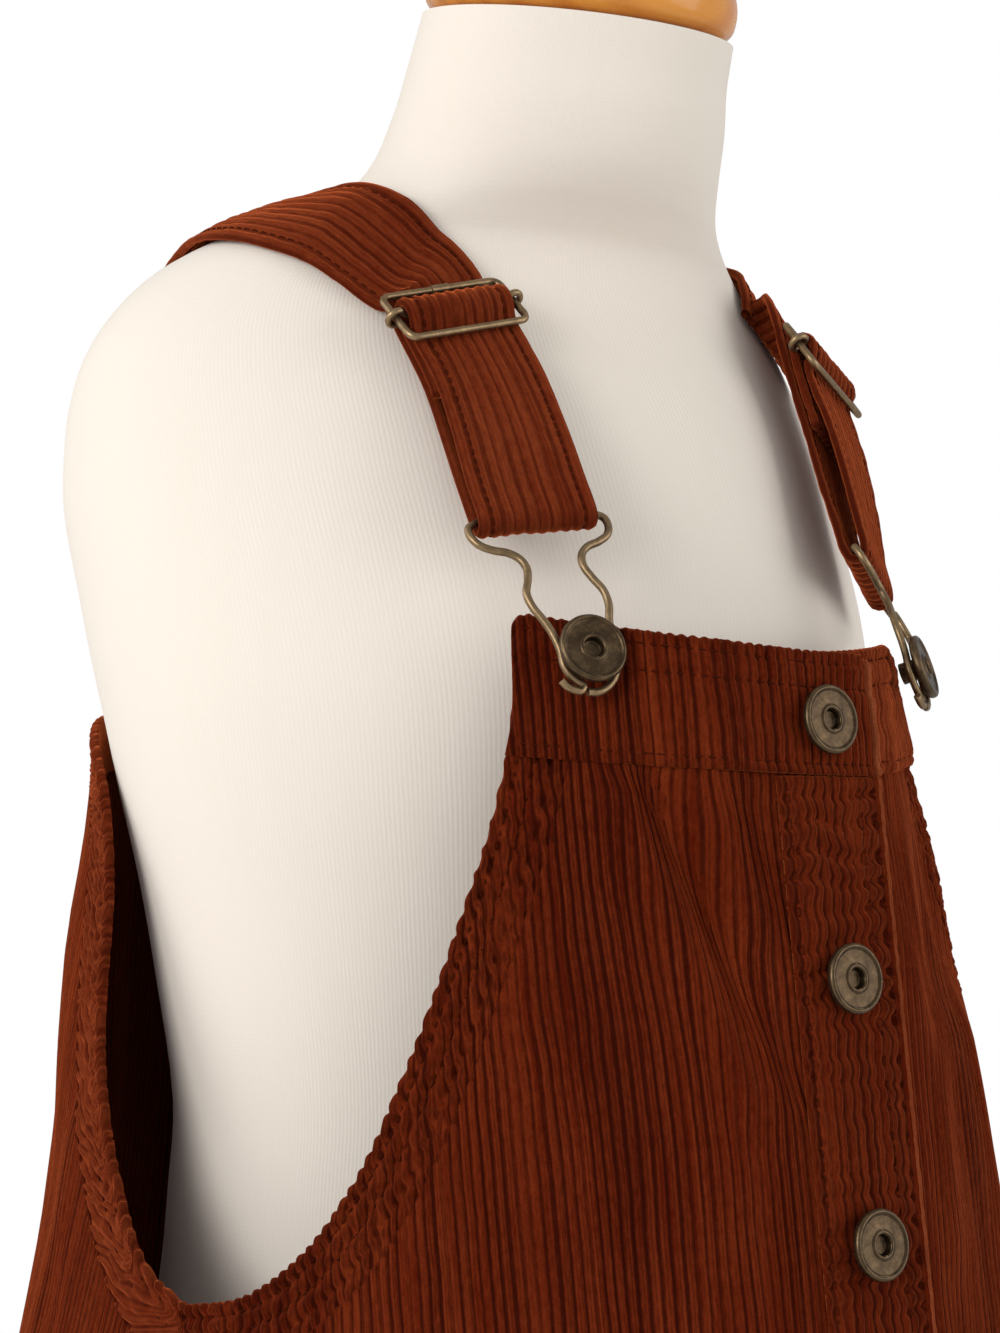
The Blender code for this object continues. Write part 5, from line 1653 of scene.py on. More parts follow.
@dataclass
class DressForm:
    """The limbless form: torso, neck cap, closing board, pole and base."""

    jersey: Material
    wood: Material
    paint: Material
    sections: Table = (
        # height, centre, half width, half depth, forward lean
        (0.590, 0.002, 0.0985, 0.0830, 0),
        (0.596, 0.002, 0.1030, 0.0875, 0),
        (0.610, 0.002, 0.1055, 0.0900, 0),
        (0.640, 0.002, 0.1040, 0.0880, 0),
        (0.680, 0.000, 0.0980, 0.0830, 0),
        (0.714, -0.004, 0.0935, 0.0785, 0),
        (0.741, -0.006, 0.0923, 0.0765, 0),
        (0.763, -0.008, 0.0923, 0.0760, 0),
        (0.796, -0.008, 0.0974, 0.0799, 0),
        (0.821, -0.008, 0.1022, 0.0834, 0),
        (0.845, -0.008, 0.1080, 0.0880, 0),
        (0.865, -0.0073, 0.1122, 0.0912, 0),
        (0.880, -0.0045, 0.1142, 0.0930, 0),
        (0.900, 0.0011, 0.1155, 0.0935, 0),
        (0.920, 0.0082, 0.1159, 0.0927, 0),
        (0.935, 0.0112, 0.1152, 0.0890, 0),
        (0.950, 0.0128, 0.1138, 0.0823, 0),
        (0.965, 0.0122, 0.1095, 0.0728, 0),
        (0.980, 0.0080, 0.0990, 0.0616, 0),
        (0.990, 0.0010, 0.0850, 0.0545, 0),
        (0.9965, -0.0090, 0.0700, 0.0505, 0),
        (1.002, -0.0190, 0.0580, 0.0475, 0),
        (1.011, -0.0285, 0.0500, 0.0452, 0.03),
        (1.025, -0.0356, 0.0460, 0.0438, 0.08),
        (1.038, -0.0396, 0.0437, 0.0422, 0.14),
        (1.050, -0.0440, 0.0425, 0.0412, 0.18),
    )
    cap_radius: float = 42.6 * MM
    cap: Table = (
        # millimetres in from the rim, up from the seat, rounding
        (42.6, 24, 0),
        (16, 22.5, 8),
        (6, 19, 4),
        (1.2, 13.5, 3),
        (0, 8, 3),
        (0.8, 3, 1.6),
        (3.5, 0.6, 1),
        (6, 0, 0.8),
        (42.6, 0, 0),
    )
    board: Table = (
        # millimetres in from the rim, up from its top, rounding
        (83, 0, 0),
        (4, 0, 1),
        (0, -3, 2),
        (0, -10, 1.5),
        (2, -12, 1.5),
        (83, -12, 0),
    )
    base: Table = (
        # millimetres in from the rim, up from the floor, rounding
        (140, 50, 0),
        (119, 50, 1.5),
        (116, 46, 2.5),
        (115, 19, 2),
        (112, 16, 1.5),
        (6, 13, 3),
        (0, 7, 3),
        (0, 2, 1),
        (2, 0, 1),
        (140, 0, 0),
    )
    rest_gap: float = 0.35 * MM
    pole_radius: float = 12.5 * MM
    base_radius: float = 0.14
    gap: float = 0.3 * MM
    sides: int = 112
    rib: float = 1.25 * MM
    rib_radius: float = 0.104

    def row(self, height: float) -> Array:
        """Return the centre, half width, half depth and lean at a height."""
        return smooth_rows(self.sections, np.asarray(height, float))

    def level(self, point: Array) -> float:
        """Return how far out a point is, 1 on the form."""
        row = self.row(point[2])
        return math.hypot(point[0] / row[1], (point[1] - row[0]) / row[2])

    def slope(self, point: Array) -> tuple[Array, float]:
        """Give the outward direction and how fast the level rises that way.

        Args:
            point: A point near the form.

        Returns:
            The direction and the rate.
        """
        step = 0.5 * MM
        steps = step * np.eye(3)
        rise = np.array([self.level(point + axis) - self.level(point - axis) for axis in steps])
        length = float(np.linalg.norm(rise))
        return rise / length, length / (2 * step)

    def onto(self, point: Array) -> Array:
        """Return the place on the form nearest to a point."""
        place = np.array(point, float)
        for _ in range(8):
            outward, rate = self.slope(place)
            place = place - outward * ((self.level(place) - 1) / rate)
        return place

    def gap_at(self, point: Array) -> float:
        """Return how far a point is off the form, below nought inside it."""
        return (self.level(point) - 1) / self.slope(point)[1]

    def make_torso(self) -> None:
        """Make the torso with its closed ends."""
        heights = np.array(self.sections)[:, 0]
        between = [np.linspace(low, high, 5)[:-1] for low, high in zip(heights, heights[1:])]
        levels = np.concatenate([*between, heights[-1:]])
        rows = smooth_rows(self.sections, levels)
        turns = np.linspace(0, FULL_TURN, self.sides + 1)
        forward = rows[:, 2:3] * np.sin(turns)
        upward = levels[:, None] + rows[:, 3:4] * forward
        points = np.stack([rows[:, 1:2] * np.cos(turns), rows[:, 0:1] + forward, upward], -1)
        ribs = round(FULL_TURN * self.rib_radius / self.rib)
        spots = np.stack(np.broadcast_arrays(turns[None] / FULL_TURN * ribs, levels[:, None]), -1)
        rings, count = points.shape[:2]
        faces = grid_faces(rings, count)
        flat = points.reshape(-1, 3)
        ends = []
        for ring, flip in ((0, True), (rings - 1, False)):
            hub = len(flat)
            flat = np.concatenate([flat, points[ring, :-1].mean(0)[None]])
            first = np.arange(count - 1) + ring * count
            pair = (first + 1, first) if flip else (first, first + 1)
            ends.append(np.stack([np.full(count - 1, hub), pair[0], pair[1], pair[1]], 1))
        spots = np.concatenate([spots.reshape(-1, 2), [[0, levels[0]], [0, levels[-1]]]])
        item = mesh_object("torso_jersey", flat, np.concatenate([faces, *ends]).tolist(), "Ribs", spots)
        build = bmesh.new()
        build.from_mesh(item.data)
        bmesh.ops.remove_doubles(build, verts=build.verts[:], dist=1e-6)
        bmesh.ops.recalc_face_normals(build, faces=build.faces[:])
        build.to_mesh(item.data)
        build.free()
        item.data.shade_smooth()
        item.data.set_sharp_from_angle(angle=math.radians(50))
        wear(item, self.jersey, "jersey", "torso")

    def turn(
        self,
        name: str,
        rim: float,
        rows: Table,
        steps: int,
        place: Matrix,
        finish: Material | None = None,
        slot: str = "wood",
        bends: int = 5,
    ) -> None:
        """Make one turned piece of the stand.

        Args:
            name: The piece's name.
            rim: Its radius.
            rows: Millimetres in from the rim, up, and each corner's rounding.
            steps: Steps round it.
            place: Where it stands.
            finish: Its finish, or None for wood.
            slot: Name of its material slot.
            bends: Steps in each rounded corner.
        """
        profile = softened(turned_corners(rim, rows), bends)
        wear(turned_object(name, profile, steps, place), finish or self.wood, slot, name)

    def make_stand(self) -> None:
        """Make the cap, the board, the pole and the base."""
        neck, low = self.sections[-1], self.sections[0]
        lean = math.atan2(neck[4], 1)
        outward = Vector((0, -math.sin(lean), math.cos(lean)))
        across = Vector((1, 0, 0))
        seat = Vector((0, neck[1], neck[0])) + outward * self.rest_gap
        place = frame_matrix(seat, across, outward.cross(across), outward)
        self.turn("neck_cap", self.cap_radius, self.cap, 128, place, bends=8)
        top = low[0] - self.gap
        self.turn("closing_board", low[3], self.board, 96, Matrix.Translation((0, low[1], top)))
        pole_low = self.base[0][1] * MM + self.gap
        rise = (top + self.board[-1][1] * MM - self.gap - pole_low) / MM
        radius = self.pole_radius / MM
        pole = ((radius, rise, 0), (0, rise, 0.5), (0, 0, 0.5), (radius, 0, 0))
        place = Matrix.Translation((0, 0, pole_low))
        self.turn("pole", self.pole_radius, pole, 64, place, self.paint, "steel")
        self.turn("base", self.base_radius, self.base, 128, Matrix.Identity(4))

    def make(self) -> None:
        """Make the whole form."""
        self.make_torso()
        self.make_stand()


# Straps and metal ----------------------------------------


@dataclass(frozen=True)
class Station:
    """A held place on a strap, listed as if for the right one."""

    place: Point
    along: Point
    across: Point


HOOK_BARS = {
    RIGHT: Station((-0.0565, -0.0965, 0.9090), (0.08, 0.58, 0.81), (0.953, -0.255, 0.164)),
    LEFT: Station((-0.0604, -0.0922, 0.9025), (-0.10, 0.50, 0.86), (0.819, -0.540, 0.290)),
}
SLIDER_PLACES = {
    RIGHT: Station((-0.0530, -0.0565, 0.9623), (-0.15, 0.47, 0.866), (0.973, -0.130, 0.190)),
    LEFT: Station((-0.0690, -0.0595, 0.9590), (-0.12, 0.45, 0.880), (0.877, -0.448, 0.144)),
}
SHOULDER_ROUTES = {
    RIGHT: (
        (-0.0580, -0.0445, 0.977),
        (-0.0636, -0.0390, 0.984),
        (-0.0695, -0.0315, 0.990),
        (-0.0738, -0.0210, 0.993),
        (-0.0760, -0.0100, 0.994),
        (-0.0748, 0.0020, 0.993),
        (-0.0695, 0.0160, 0.990),
        (-0.0628, 0.0300, 0.984),
        (-0.0565, 0.0450, 0.973),
        (-0.0515, 0.0610, 0.955),
        (-0.0480, 0.0760, 0.930),
        (-0.0455, 0.0850, 0.906),
    ),
    LEFT: (
        (-0.0745, -0.0480, 0.974),
        (-0.0790, -0.0380, 0.982),
        (-0.0820, -0.0270, 0.986),
        (-0.0835, -0.0140, 0.988),
        (-0.0835, 0.0000, 0.988),
        (-0.0815, 0.0150, 0.986),
        (-0.0770, 0.0310, 0.979),
        (-0.0700, 0.0470, 0.968),
        (-0.0615, 0.0630, 0.950),
        (-0.0530, 0.0770, 0.926),
        (-0.0462, 0.0850, 0.906),
    ),
}


@dataclass
class Strap:
    """One shoulder strap with its slider and the hook that catches its bib button."""

    side: Side
    body: DressBody
    form: DressForm
    cloth_finish: Material
    metal: Material
    width: float = 31 * MM
    thickness: float = 2.3 * MM
    shoulder_gap: float = 1.0 * MM
    rest_gap: float = 0.35 * MM
    hook_wire: float = 1.0 * MM
    slider_wire: float = 1.0 * MM
    bar_wire: float = 0.9 * MM
    wire_step: float = 0.7 * MM
    slider_half: float = 17.5 * MM
    deepest_bow: float = 2.5 * MM
    reach: int = 9
    seat_girth: float = 0.300
    seat_heights: tuple[float, ...] = (0.866, 0.858, 0.847)
    slider_steps: tuple[int, ...] = (-14, -7, 0, 7, 14)
    columns: tuple[float, ...] = (-1, -0.4, 0.4, 1)
    inner_shares: tuple[float, ...] = (-0.7, -0.4, 0, 0.4, 0.7)
    front_layer: tuple[tuple[float, float], ...] = ((8.0, 5.7), (18.0, 6.5), (30.0, 6.8), (42.0, 6.5))
    slider_roll: tuple[tuple[float, float], ...] = (
        (-12.0, 5.6),
        (-7.0, 5.35),
        (-4.2, 5.95),
        (-2.3, 7.35),
        (0.2, 8.5),
        (2.8, 8.1),
        (4.7, 6.3),
        (4.6, 4.2),
        (2.9, 2.9),
        (-1.0, 2.65),
        (-12.0, 2.65),
        (-25.0, 2.65),
    )
    top_bar: tuple[float, float] = (8.8, 3.2)
    low_bar: tuple[float, float] = (-7.0, 8.1)
    wale_count: int = 10
    edge_row: float = 3.6 * MM
    stitch: StitchRow = field(default_factory=StitchRow)

    def __post_init__(self) -> None:
        """Work out the under layer's frames."""
        self.arches = np.array([1 - column**2 for column in self.columns])
        self.make_frames()

    def arch(self, share: Array | float) -> Array:
        """Return how far the faces follow the bow at a share of the half width."""
        return np.interp(share, self.columns, self.arches)

    def shortfalls(
        self, place: Array, normal: Array, across: Array, bow: float, shares: Iterable[float]
    ) -> list[float]:
        """Tell how far the inner face falls short of its clearance over the form.

        Args:
            place: Middle of the strap.
            normal: Outward direction.
            across: Direction across.
            bow: The bow there.
            shares: Shares of the half width to look at.

        Returns:
            One shortfall per share.
        """
        needed, half = self.shoulder_gap + self.thickness / 2, self.width / 2
        places = (place + normal * (bow * self.arch(share)) + across * (half * share) for share in shares)
        return [needed - self.form.gap_at(spot) for spot in places]

    def shoulder_stations(self) -> list[tuple[Array, Array, float]]:
        """Return the places on the shoulder with their outward directions and bows."""
        middles = [self.form.onto(point) for point in along_curve(SHOULDER_ROUTES[self.side], 18)]
        stations = []
        half = self.width / 2
        for index, middle in enumerate(middles):
            along = unit(middles[min(index + 1, len(middles) - 1)] - middles[max(index - 1, 0)])
            across = unit(np.cross(along, self.form.slope(middle)[0]))
            for _ in range(3):
                ends = [self.form.onto(middle + across * (half * sign)) for sign in (-1, 1)]
                across = unit(ends[1] - ends[0])
            normal = unit(np.cross(across, along))
            lift = 0.0
            for _ in range(4):
                lift += max(self.shortfalls(middle + normal * lift, normal, across, 0.0, (-1, 1)))
            place = middle + normal * lift
            bow = 0.0
            for _ in range(4):
                needed = self.shortfalls(place, normal, across, bow, self.inner_shares)
                bow += max(need / self.arch(share) for need, share in zip(needed, self.inner_shares))
            stations.append((place, normal, max(bow, -self.deepest_bow)))
        return stations

    def make_frames(self) -> None:
        """Work out the under layer, from the hook's bar over to the back band."""
        stations = []
        for table, steps in ((HOOK_BARS, (0, 8)), (SLIDER_PLACES, self.slider_steps)):
            station = table[self.side]
            along = unit(np.array(station.along))
            outward = unit(np.cross(np.array(station.across), along))
            start = np.array(station.place)
            if table is HOOK_BARS:
                start = start - outward * (self.thickness / 2 + self.rest_gap + self.hook_wire)
            stations += [(start + along * (step * MM), outward, 0.0) for step in steps]
        stations += self.shoulder_stations()
        seat = self.body.seam + self.body.overlay + self.rest_gap + self.thickness / 2
        for height in self.seat_heights:
            spot = (np.array([-1.0]), np.array([self.seat_girth]), np.array([height]))
            place = self.body.cloth.lifted(*spot, seat)[0][0]
            stations.append((place, self.body.cloth.normal(*spot)[0], 0.0))
        fine = along_curve([station[0] for station in stations], 200)
        travel = travelled(fine)
        stops = [float(travel[np.argmin(np.linalg.norm(fine - place, axis=1))]) for place, _, _ in stations]
        normals = np.array([station[1] for station in stations])
        outward = read_rows(travel, stops, normals)
        bows = np.interp(travel, stops, [station[2] for station in stations])
        ways = unit(np.concatenate([fine[1:2] - fine[:1], fine[2:] - fine[:-2], fine[-1:] - fine[-2:-1]]))
        outward = unit(outward - ways * np.sum(outward * ways, axis=1, keepdims=True))
        across = np.cross(ways, outward)
        shares = (-1, *self.inner_shares, 1)
        lifts = [
            max(0.0, *self.shortfalls(place, normal, sideways, bow, shares))
            for place, normal, sideways, bow in zip(fine, outward, across, bows)
        ]
        padded = np.pad(lifts, self.reach - 1, mode="edge")
        highest = [padded[start : start + self.reach].max() for start in range(len(padded) - self.reach + 1)]
        lifts = np.convolve(highest, np.ones(self.reach) / self.reach, mode="valid")
        mirror = np.array((-self.side.value, 1, 1))
        self.up = travel
        self.middle = (fine + outward * lifts[:, None]) * mirror
        self.outward, self.across, self.along = outward * mirror, across * mirror, ways * mirror
        self.bows = bows
        self.slider_up = stops[2 + self.slider_steps.index(0)]

    def at(
        self, up: Array | float, height: Array | float, across: Array | float = 0.0
    ) -> Array:
        """Give places on the strap.

        Args:
            up: Distance up from the hook's bar.
            height: Height over the under layer's middle.
            across: Distance across.

        Returns:
            The points.
        """
        given = (np.asarray(value, float) for value in (up, height, across))
        up, height, across = np.broadcast_arrays(*given)
        inside = np.clip(up, 0, self.up[-1])
        frames = (self.middle, self.outward, self.across, self.along)
        place, normal, sideways, along = (read_rows(inside, self.up, part) for part in frames)
        bow = np.interp(inside, self.up, self.bows) * self.arch(np.clip(across / (self.width / 2), -1, 1))
        place = place + unit(normal) * (height + bow)[..., None] + unit(sideways) * across[..., None]
        return place + along * (up - inside)[..., None]

    def route(self) -> Array:
        """Return the middle line as distance up and height, from the back band to its turned-in end."""
        radius = self.thickness / 2 + self.rest_gap + self.hook_wire
        line = [(self.up[-1] * share, 0.0) for share in np.linspace(1, 0, 34)]
        for step in range(1, 6):
            turn = math.pi * step / 6
            line.append((-radius * math.sin(turn), radius * (1 - math.cos(turn))))
        line.append((0.0, 2 * radius))
        line += [(up * MM, height * MM) for up, height in self.front_layer]
        line += [(self.slider_up + up * MM, height * MM) for up, height in self.slider_roll]
        return np.array(line)

    def make_cloth(self) -> None:
        """Make the strap's doubled cloth, its wales lengthwise."""
        guide = self.route()
        length = float(travelled(guide)[-1])
        line = along_curve(guide, int(length / (1.25 * MM)), 12)
        travel = travelled(line)
        ways = unit(np.gradient(line, axis=0))
        square = np.stack([-ways[:, 1], ways[:, 0]], 1)
        half = self.width / 2
        shares = edged(-half, half, 0.55 * MM, (0.0, 0.06, 0.22, 0.5, 0.85))
        edge = half - np.abs(shares)
        radius = self.thickness / 2
        slim = np.sqrt(np.clip(1 - np.clip(1 - edge / radius, 0, 1) ** 2, 0.0, 1))
        phase = shares / (self.width / self.wale_count) + 0.5
        down = travel[:, None]
        stray = 0.10 * ripple(shares[None] / 0.03, down / 0.05, 71) * ease(edge / (3 * MM))
        strayed = phase[None] + stray
        pile = self.body.wales.rise(strayed) * ease(edge / (1.2 * MM))
        dimple = self.stitch.dimple(edge[None] - self.edge_row, down)
        lumps = 0.16 * MM * ripple(shares[None] / 0.010, down / 0.007, 73)
        relief = pile * 0.6 + dimple * 0.5 + np.minimum(lumps, 0.02 * MM)
        rings = []
        for sign in (1, -1):
            rise = np.maximum(radius * slim[None] + relief * slim[None], 0.04 * MM) * sign
            up = line[:, :1] + square[:, :1] * rise
            height = line[:, 1:] + square[:, 1:] * rise
            rings.append(self.at(up, height, np.broadcast_to(shares[None], up.shape)))
        outer, inner = rings
        name = f"strap_{self.side.word}"
        item = shell_object(name, outer, inner, np.stack([strayed, down + 0 * strayed], -1), thin=1)
        wear(item, self.cloth_finish, "corduroy", name)
        for sign in (-1, 1):
            place = sign * (half - self.edge_row)
            for face in (1, -1):
                rise = square * (face * (radius - 0.15 * MM))
                stitches = self.at(*(line + rise).T, place)
                nearer = self.at(*(line + rise * 0.5).T, place)
                self.body.threads.sew(stitches, unit(stitches - nearer), self.stitch.pitch)

    def wire(self, name: str, points: Sequence[Array], radius: float, closed: bool, *nodes: str) -> None:
        """Make a bent wire.

        Args:
            name: The piece's name.
            points: Points it passes through.
            radius: Its radius.
            closed: Whether it closes on itself.
            *nodes: The solids it replaces.
        """
        given = [np.array(point, float) for point in points]
        if closed:
            given = [*given, given[0]]
        line = along_curve(given, 30 + int(travelled(np.array(given))[-1] / self.wire_step))
        item = round_wire(f"{name}_wire", [line[:-1] if closed else line], radius, 3, closed)
        wear(item, self.metal, "antique_brass", *nodes)

    def make_slider(self) -> None:
        """Make the slider's frame, its centre bar with curled ends and the ferrule on its top bar."""
        centre = self.at(self.slider_up, 0.0)
        outward = self.at(self.slider_up, 1.0) - centre
        sideways = self.at(self.slider_up, 0.0, 1.0) - centre
        upward = np.cross(outward, sideways) * -self.side.value
        low, top = np.array(self.low_bar), np.array(self.top_bar)
        run = unit(top - low)

        def place(across: float, share: float, proud: float = 0.0) -> Array:
            """Return a place in millimetres across, a share from low bar to top bar and millimetres proud."""
            up, height = low + (top - low) * share + np.array((-run[1], run[0])) * proud
            return centre + (upward * up + outward * height + sideways * across) * MM

        wide = self.slider_half / MM
        quarter = [(wide - across, 0.0) for across in (15.0, 11.5, 8.0, 5.0, 3.2, 2.2)]
        quarter += [(wide - 0.65, 0.042), (wide, 0.14), (wide, 0.21), (wide, 0.31), (wide, 0.42)]
        outline = quarter + [(across, 1 - share) for across, share in quarter[::-1]]
        outline += [(-across, 1 - share) for across, share in quarter]
        outline += [(-across, share) for across, share in quarter[::-1]]
        name = f"slider_{self.side.word}"
        self.wire(name, [place(*spot) for spot in outline], self.slider_wire, True, name)
        ring = (self.slider_wire + self.bar_wire + 0.35 * MM) / MM
        turns = np.radians((150, 100, 50, 0, -50, -100, -135))
        curl = [(wide + ring * math.cos(turn), ring * math.sin(turn)) for turn in turns]
        bar = [(-across, 0.5, proud) for across, proud in curl[::-1]]
        bar += [(-(wide - 4.2), 0.5, 0.1), (0, 0.5, 0.0), (wide - 4.2, 0.5, 0.1)]
        bar += [(across, 0.5, proud) for across, proud in curl]
        name = f"slider_bar_{self.side.word}"
        self.wire(name, [place(*spot) for spot in bar], self.bar_wire, False, name)
        ferrule = [place(across, 1.0) for across in (-2.4, 0.0, 2.4)]
        self.wire(f"slider_ferrule_{self.side.word}", ferrule, self.slider_wire * 1.32, False)

    def make_hook(self) -> None:
        """Make the wire hook that catches the bib button."""
        half = (
            # millimetres across and up
            (0.0, 38.0), (15.9, 38.0), (17.6, 36.9), (18.0, 34.6), (16.8, 31.6), (13.8, 29.6),
            (10.2, 28.3), (8.0, 26.2), (7.3, 23.4), (8.3, 19.8), (10.0, 16.0), (9.9, 12.3),
            (8.5, 8.4), (7.5, 4.2), (7.3, 0.0), (6.9, -3.5),
        )
        ring_end = ((5.5, -6.8), (3.1, -9.2), (0.6, -10.2), (-1.6, -10.1))
        curl_end = (
            *((-8.0, -7.4), (-6.8, -8.8), (-5.0, -9.7), (-3.3, -9.9)),
            *((-2.4, -8.6), (-4.0, -7.5), (-5.8, -5.7)),
        )
        rise, twist_rate, belly, stand = 38.0, 1.3, 1.2 * MM, 3.35 * MM
        button = Buttons.bib_frame(self.body, self.side)
        turn = button.to_3x3()
        ring = np.array(button @ Vector((0, 0, stand)))
        across = np.array(turn @ Vector((1, 0, 0)))
        upward = np.array(turn @ Vector((0, 1, 0)))
        bar = self.at(0.0, self.thickness / 2 + self.rest_gap + self.hook_wire)
        bar_across = unit(self.at(0.0, 0.0, 1.0) - self.at(0.0, 0.0))
        if bar_across @ across < 0:
            bar_across = -bar_across
        knee = ring + upward * (rise / 2 * MM) + np.array(turn @ Vector((0, 0, belly)))
        knee = knee - bar_across * ((knee - bar) @ bar_across)
        wire = []
        mirrored = [(-sideways, up) for sideways, up in half[:0:-1]]
        for sideways, up in [*curl_end, *mirrored, *half, *ring_end]:
            share = max(up, 0.0) / rise
            middle = ring * (1 - share) ** 2 + knee * (2 * share * (1 - share)) + bar * share**2
            middle = middle + upward * (min(up, 0.0) * MM)
            twist = min(share * twist_rate, 1.0)
            wire.append(middle + unit(across * (1 - twist) + bar_across * twist) * (sideways * MM))
        name = f"bib_hook_{self.side.word}"
        self.wire(name, wire, self.hook_wire, False, name)

    def make(self) -> None:
        """Make the strap and its metal."""
        self.make_cloth()
        self.make_slider()
        self.make_hook()


@dataclass
class Buttons:
    """The tack buttons: seven on the placket and one under each hook."""

    body: DressBody
    metal: Material
    radius: float = 8.5 * MM
    head: Table = (
        # millimetres in from the rim, up from the shank, rounding
        (8.5, 0.35, 0),
        (6.3, 0.4, 0.3),
        (6, 2.2, 0.3),
        (5.55, 2.5, 0.25),
        (5.1, 2.35, 0.3),
        (4.8, 2.05, 0.25),
        (1.5, 1.95, 0.4),
        (1.15, 2.35, 0.25),
        (0.65, 2.5, 0.3),
        (0, 1.95, 0.5),
        (0, 0.6, 0.5),
        (0.8, 0, 0.4),
    )
    count: int = 7
    rest_gap: float = 0.35 * MM
    steps: int = 72

    def profile(self, shank: float, shank_radius: float) -> list[tuple[float, float]]:
        """Give a button's outline, with its rim, its ring and the hollow centre.

        Args:
            shank: Length of the shank in millimetres.
            shank_radius: Its radius in millimetres.

        Returns:
            Radius and height from the top's centre to the bottom's.
        """
        head = [(inward, up + shank, bend) for inward, up, bend in self.head]
        radius = self.radius / MM
        foot = radius - shank_radius
        neck = [(foot, shank, 0.1), (foot, 0, 0.1), (radius, 0, 0)]
        return softened(turned_corners(self.radius, [*head, *neck]))

    @staticmethod
    def seat(body: DressBody, side: Side, girth: float, height: float, lift: float) -> tuple[Vector, Vector]:
        """Return a place lifted off a side's cloth and the outward direction there."""
        spot = (np.array([float(side.value)]), np.array([girth]), np.array([height]))
        return Vector(body.cloth.lifted(*spot, lift)[0][0]), Vector(body.cloth.normal(*spot)[0])

    @staticmethod
    def facing(point: Vector, normal: Vector) -> Matrix:
        """Return the frame that faces along a direction."""
        across = Vector((0, 0, 1)).cross(normal).normalized()
        return frame_matrix(point, across, normal.cross(across), normal)

    @staticmethod
    def bib_frame(body: DressBody, side: Side) -> Matrix:
        """Return the frame of a bib button, pulled up and turned by its hook."""
        turn = math.radians(16 if side is RIGHT else 34)
        tilt = math.radians(18)
        lift = body.seam + body.overlay + 2.3 * MM
        point, _ = Buttons.seat(body, side, 57 * MM, body.top_button + 14.2 * MM, lift)
        out = (side.value * math.sin(turn) * math.cos(tilt), -math.cos(turn) * math.cos(tilt), math.sin(tilt))
        return Buttons.facing(point, Vector(out))

    def make(self) -> None:
        """Make every button."""
        lift = self.body.seam + self.body.overlay + self.rest_gap
        for number in range(self.count):
            level = self.body.top_button - self.body.button_spacing * number
            point, normal = self.seat(self.body, RIGHT, 0.0, level, lift)
            name = f"placket_button_{number + 1}"
            outline = self.profile(0.8, 5)
            item = turned_object(name, outline, self.steps, self.facing(point, normal))
            wear(item, self.metal, "antique_brass", name)
        for side in Side:
            name = f"bib_button_{side.word}"
            place = self.bib_frame(self.body, side)
            item = turned_object(name, self.profile(4.8, 2.8), self.steps, place)
            wear(item, self.metal, "antique_brass", name)


# Studio ----------------------------------------


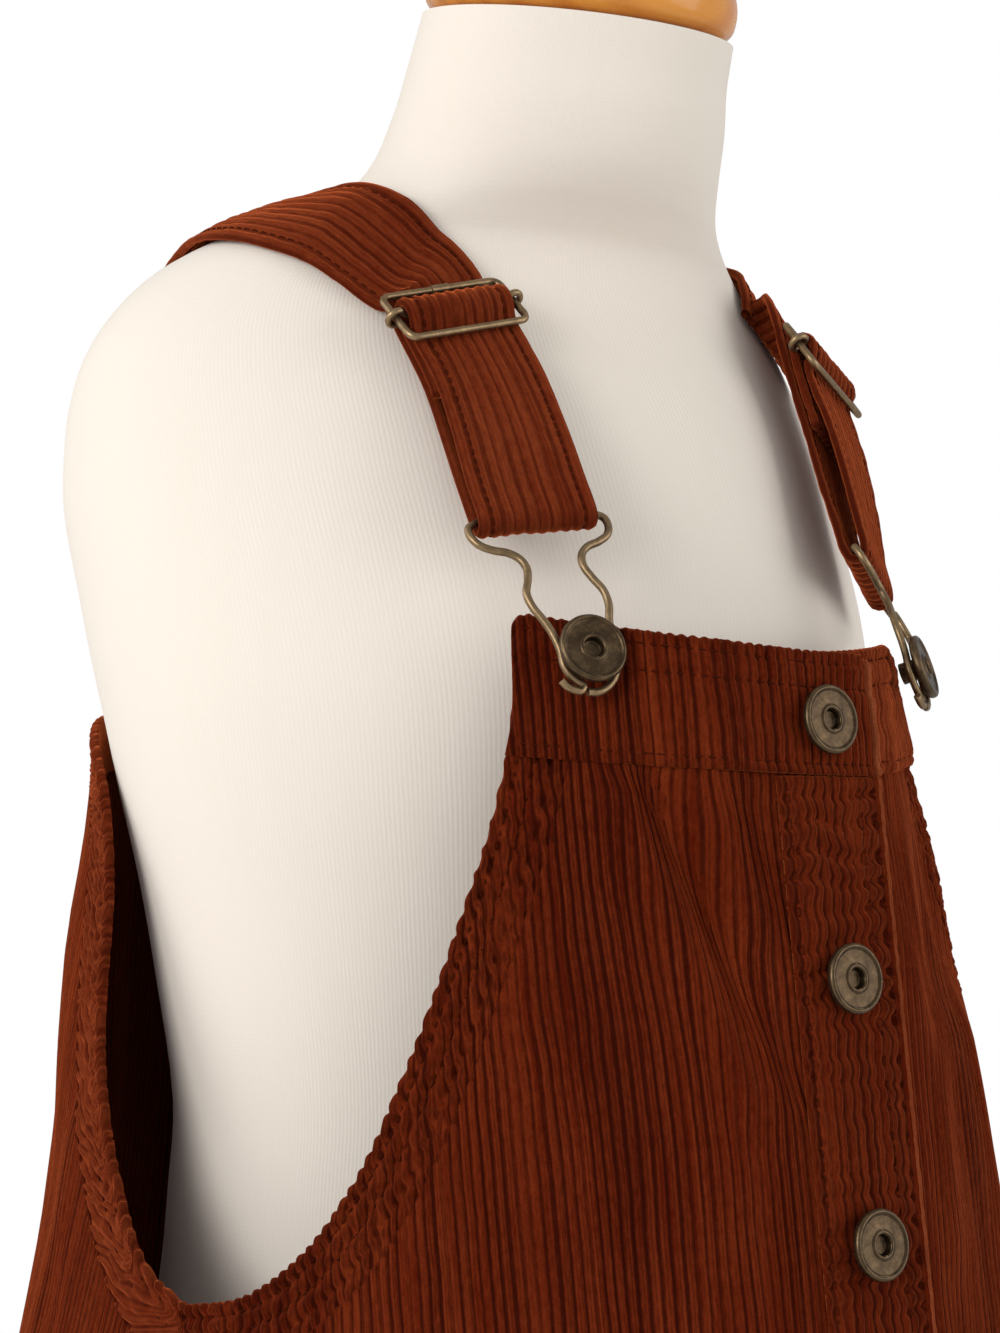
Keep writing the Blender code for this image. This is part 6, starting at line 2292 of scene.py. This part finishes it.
@dataclass(frozen=True)
class Studio:
    """White studio: camera, floor and soft light from the wearer's right."""

    camera_place: Point = (-0.50536, -0.66343, 0.82781)
    azimuth: float = math.radians(37.7)
    elevation: float = math.radians(3.6)
    lens: float = 81.02
    sensor: float = 36.0
    key_power: float = 18.0
    fill_power: float = 15.0
    rim_power: float = 10.0
    backdrop: float = 1.0
    ambient: float = 0.55
    floor_radius: float = 3.4
    floor_steps: int = 96
    aim: Point = (0.0, 0.0, 0.82)

    def make_camera(self) -> None:
        """Place the camera."""
        data = bpy.data.cameras.new("camera")
        data.lens = self.lens
        data.sensor_width = self.sensor
        data.clip_start = 0.01
        camera = bpy.data.objects.new("camera", data)
        turn, rise = self.azimuth, self.elevation
        ahead = Vector((math.sin(turn) * math.cos(rise), math.cos(turn) * math.cos(rise), math.sin(rise)))
        across = Vector((math.cos(turn), -math.sin(turn), 0))
        camera.matrix_world = frame_matrix(Vector(self.camera_place), across, across.cross(ahead), -ahead)
        bpy.context.scene.collection.objects.link(camera)
        bpy.context.scene.camera = camera

    def make_floor(self) -> None:
        """Lay the pale floor."""
        mesh = bpy.data.meshes.new("floor")
        turns = np.linspace(0, FULL_TURN, self.floor_steps, endpoint=False)
        rim = np.stack([np.cos(turns), np.sin(turns), 0 * turns], 1) * self.floor_radius
        mesh.from_pydata(rim.tolist(), [], [tuple(range(self.floor_steps))])
        floor = bpy.data.objects.new("floor", mesh)
        floor.location.z = -0.5 * MM
        make = Nodes("floor")
        tone = make.mix(make.noise(make.place(), 3.0, 4.0), (0.80, 0.80, 0.79), (0.84, 0.84, 0.83))
        mesh.materials.append(make.finish(Base_Color=tone, Roughness=0.7))
        bpy.context.scene.collection.objects.link(floor)

    def make_light(self, name: str, place: Point, size: float, power: float) -> None:
        """Hang one soft lamp.

        Args:
            name: Its name.
            place: Where it hangs.
            size: Its side.
            power: Its power in watts.
        """
        data = bpy.data.lights.new(name, "AREA")
        data.size = size
        data.energy = power
        lamp = bpy.data.objects.new(name, data)
        lamp.location = place
        lamp.rotation_euler = (Vector(self.aim) - Vector(place)).to_track_quat("-Z", "Y").to_euler()
        bpy.context.scene.collection.objects.link(lamp)

    def make(self) -> None:
        """Set up the whole studio."""
        self.make_camera()
        self.make_floor()
        self.make_light("key", (-1.75, -0.45, 1.25), 0.9, self.key_power)
        self.make_light("fill", (1.1, -1.6, 1.2), 1.4, self.fill_power)
        self.make_light("rim", (-1.5, 1.0, 1.6), 1.2, self.rim_power)
        world = bpy.data.worlds.new("studio")
        world.use_nodes = True
        tree = world.node_tree
        seen = tree.nodes.new("ShaderNodeLightPath").outputs["Is Camera Ray"]
        share = tree.nodes.new("ShaderNodeMapRange")
        share.inputs["To Min"].default_value = self.ambient
        share.inputs["To Max"].default_value = self.backdrop
        tree.links.new(seen, share.inputs["Value"])
        background = tree.nodes["Background"]
        background.inputs["Color"].default_value = (1, 1, 1, 1)
        tree.links.new(share.outputs[0], background.inputs["Strength"])
        scene = bpy.context.scene
        scene.world = world
        scene.view_settings.view_transform = "Standard"


def main() -> None:
    """Build the dressed form piece by piece."""
    logging.basicConfig(level=logging.INFO, format="%(name)s: %(message)s")
    Studio().make()
    # The straps take the lighter copy of the corduroy: partly wear of the nap, partly painted light on their
    # lit tops.
    strap_finish = WORN_AND_LIT.material()
    brass = AntiqueBrass().material()
    threads = Threads("stitches")
    body = DressBody(HangingCloth(), Wales(), threads, Corduroy().material(), strap_finish, FADED_AND_LIT.material())
    body.make()
    form = DressForm(RibJersey().material(), VarnishedWood().material(), SatinPaint().material())
    form.make()
    Buttons(body, brass).make()
    for side in Side:
        Strap(side, body, form, strap_finish, brass).make()
    threads.make(Thread().material())


if __name__ == "__main__":
    main()
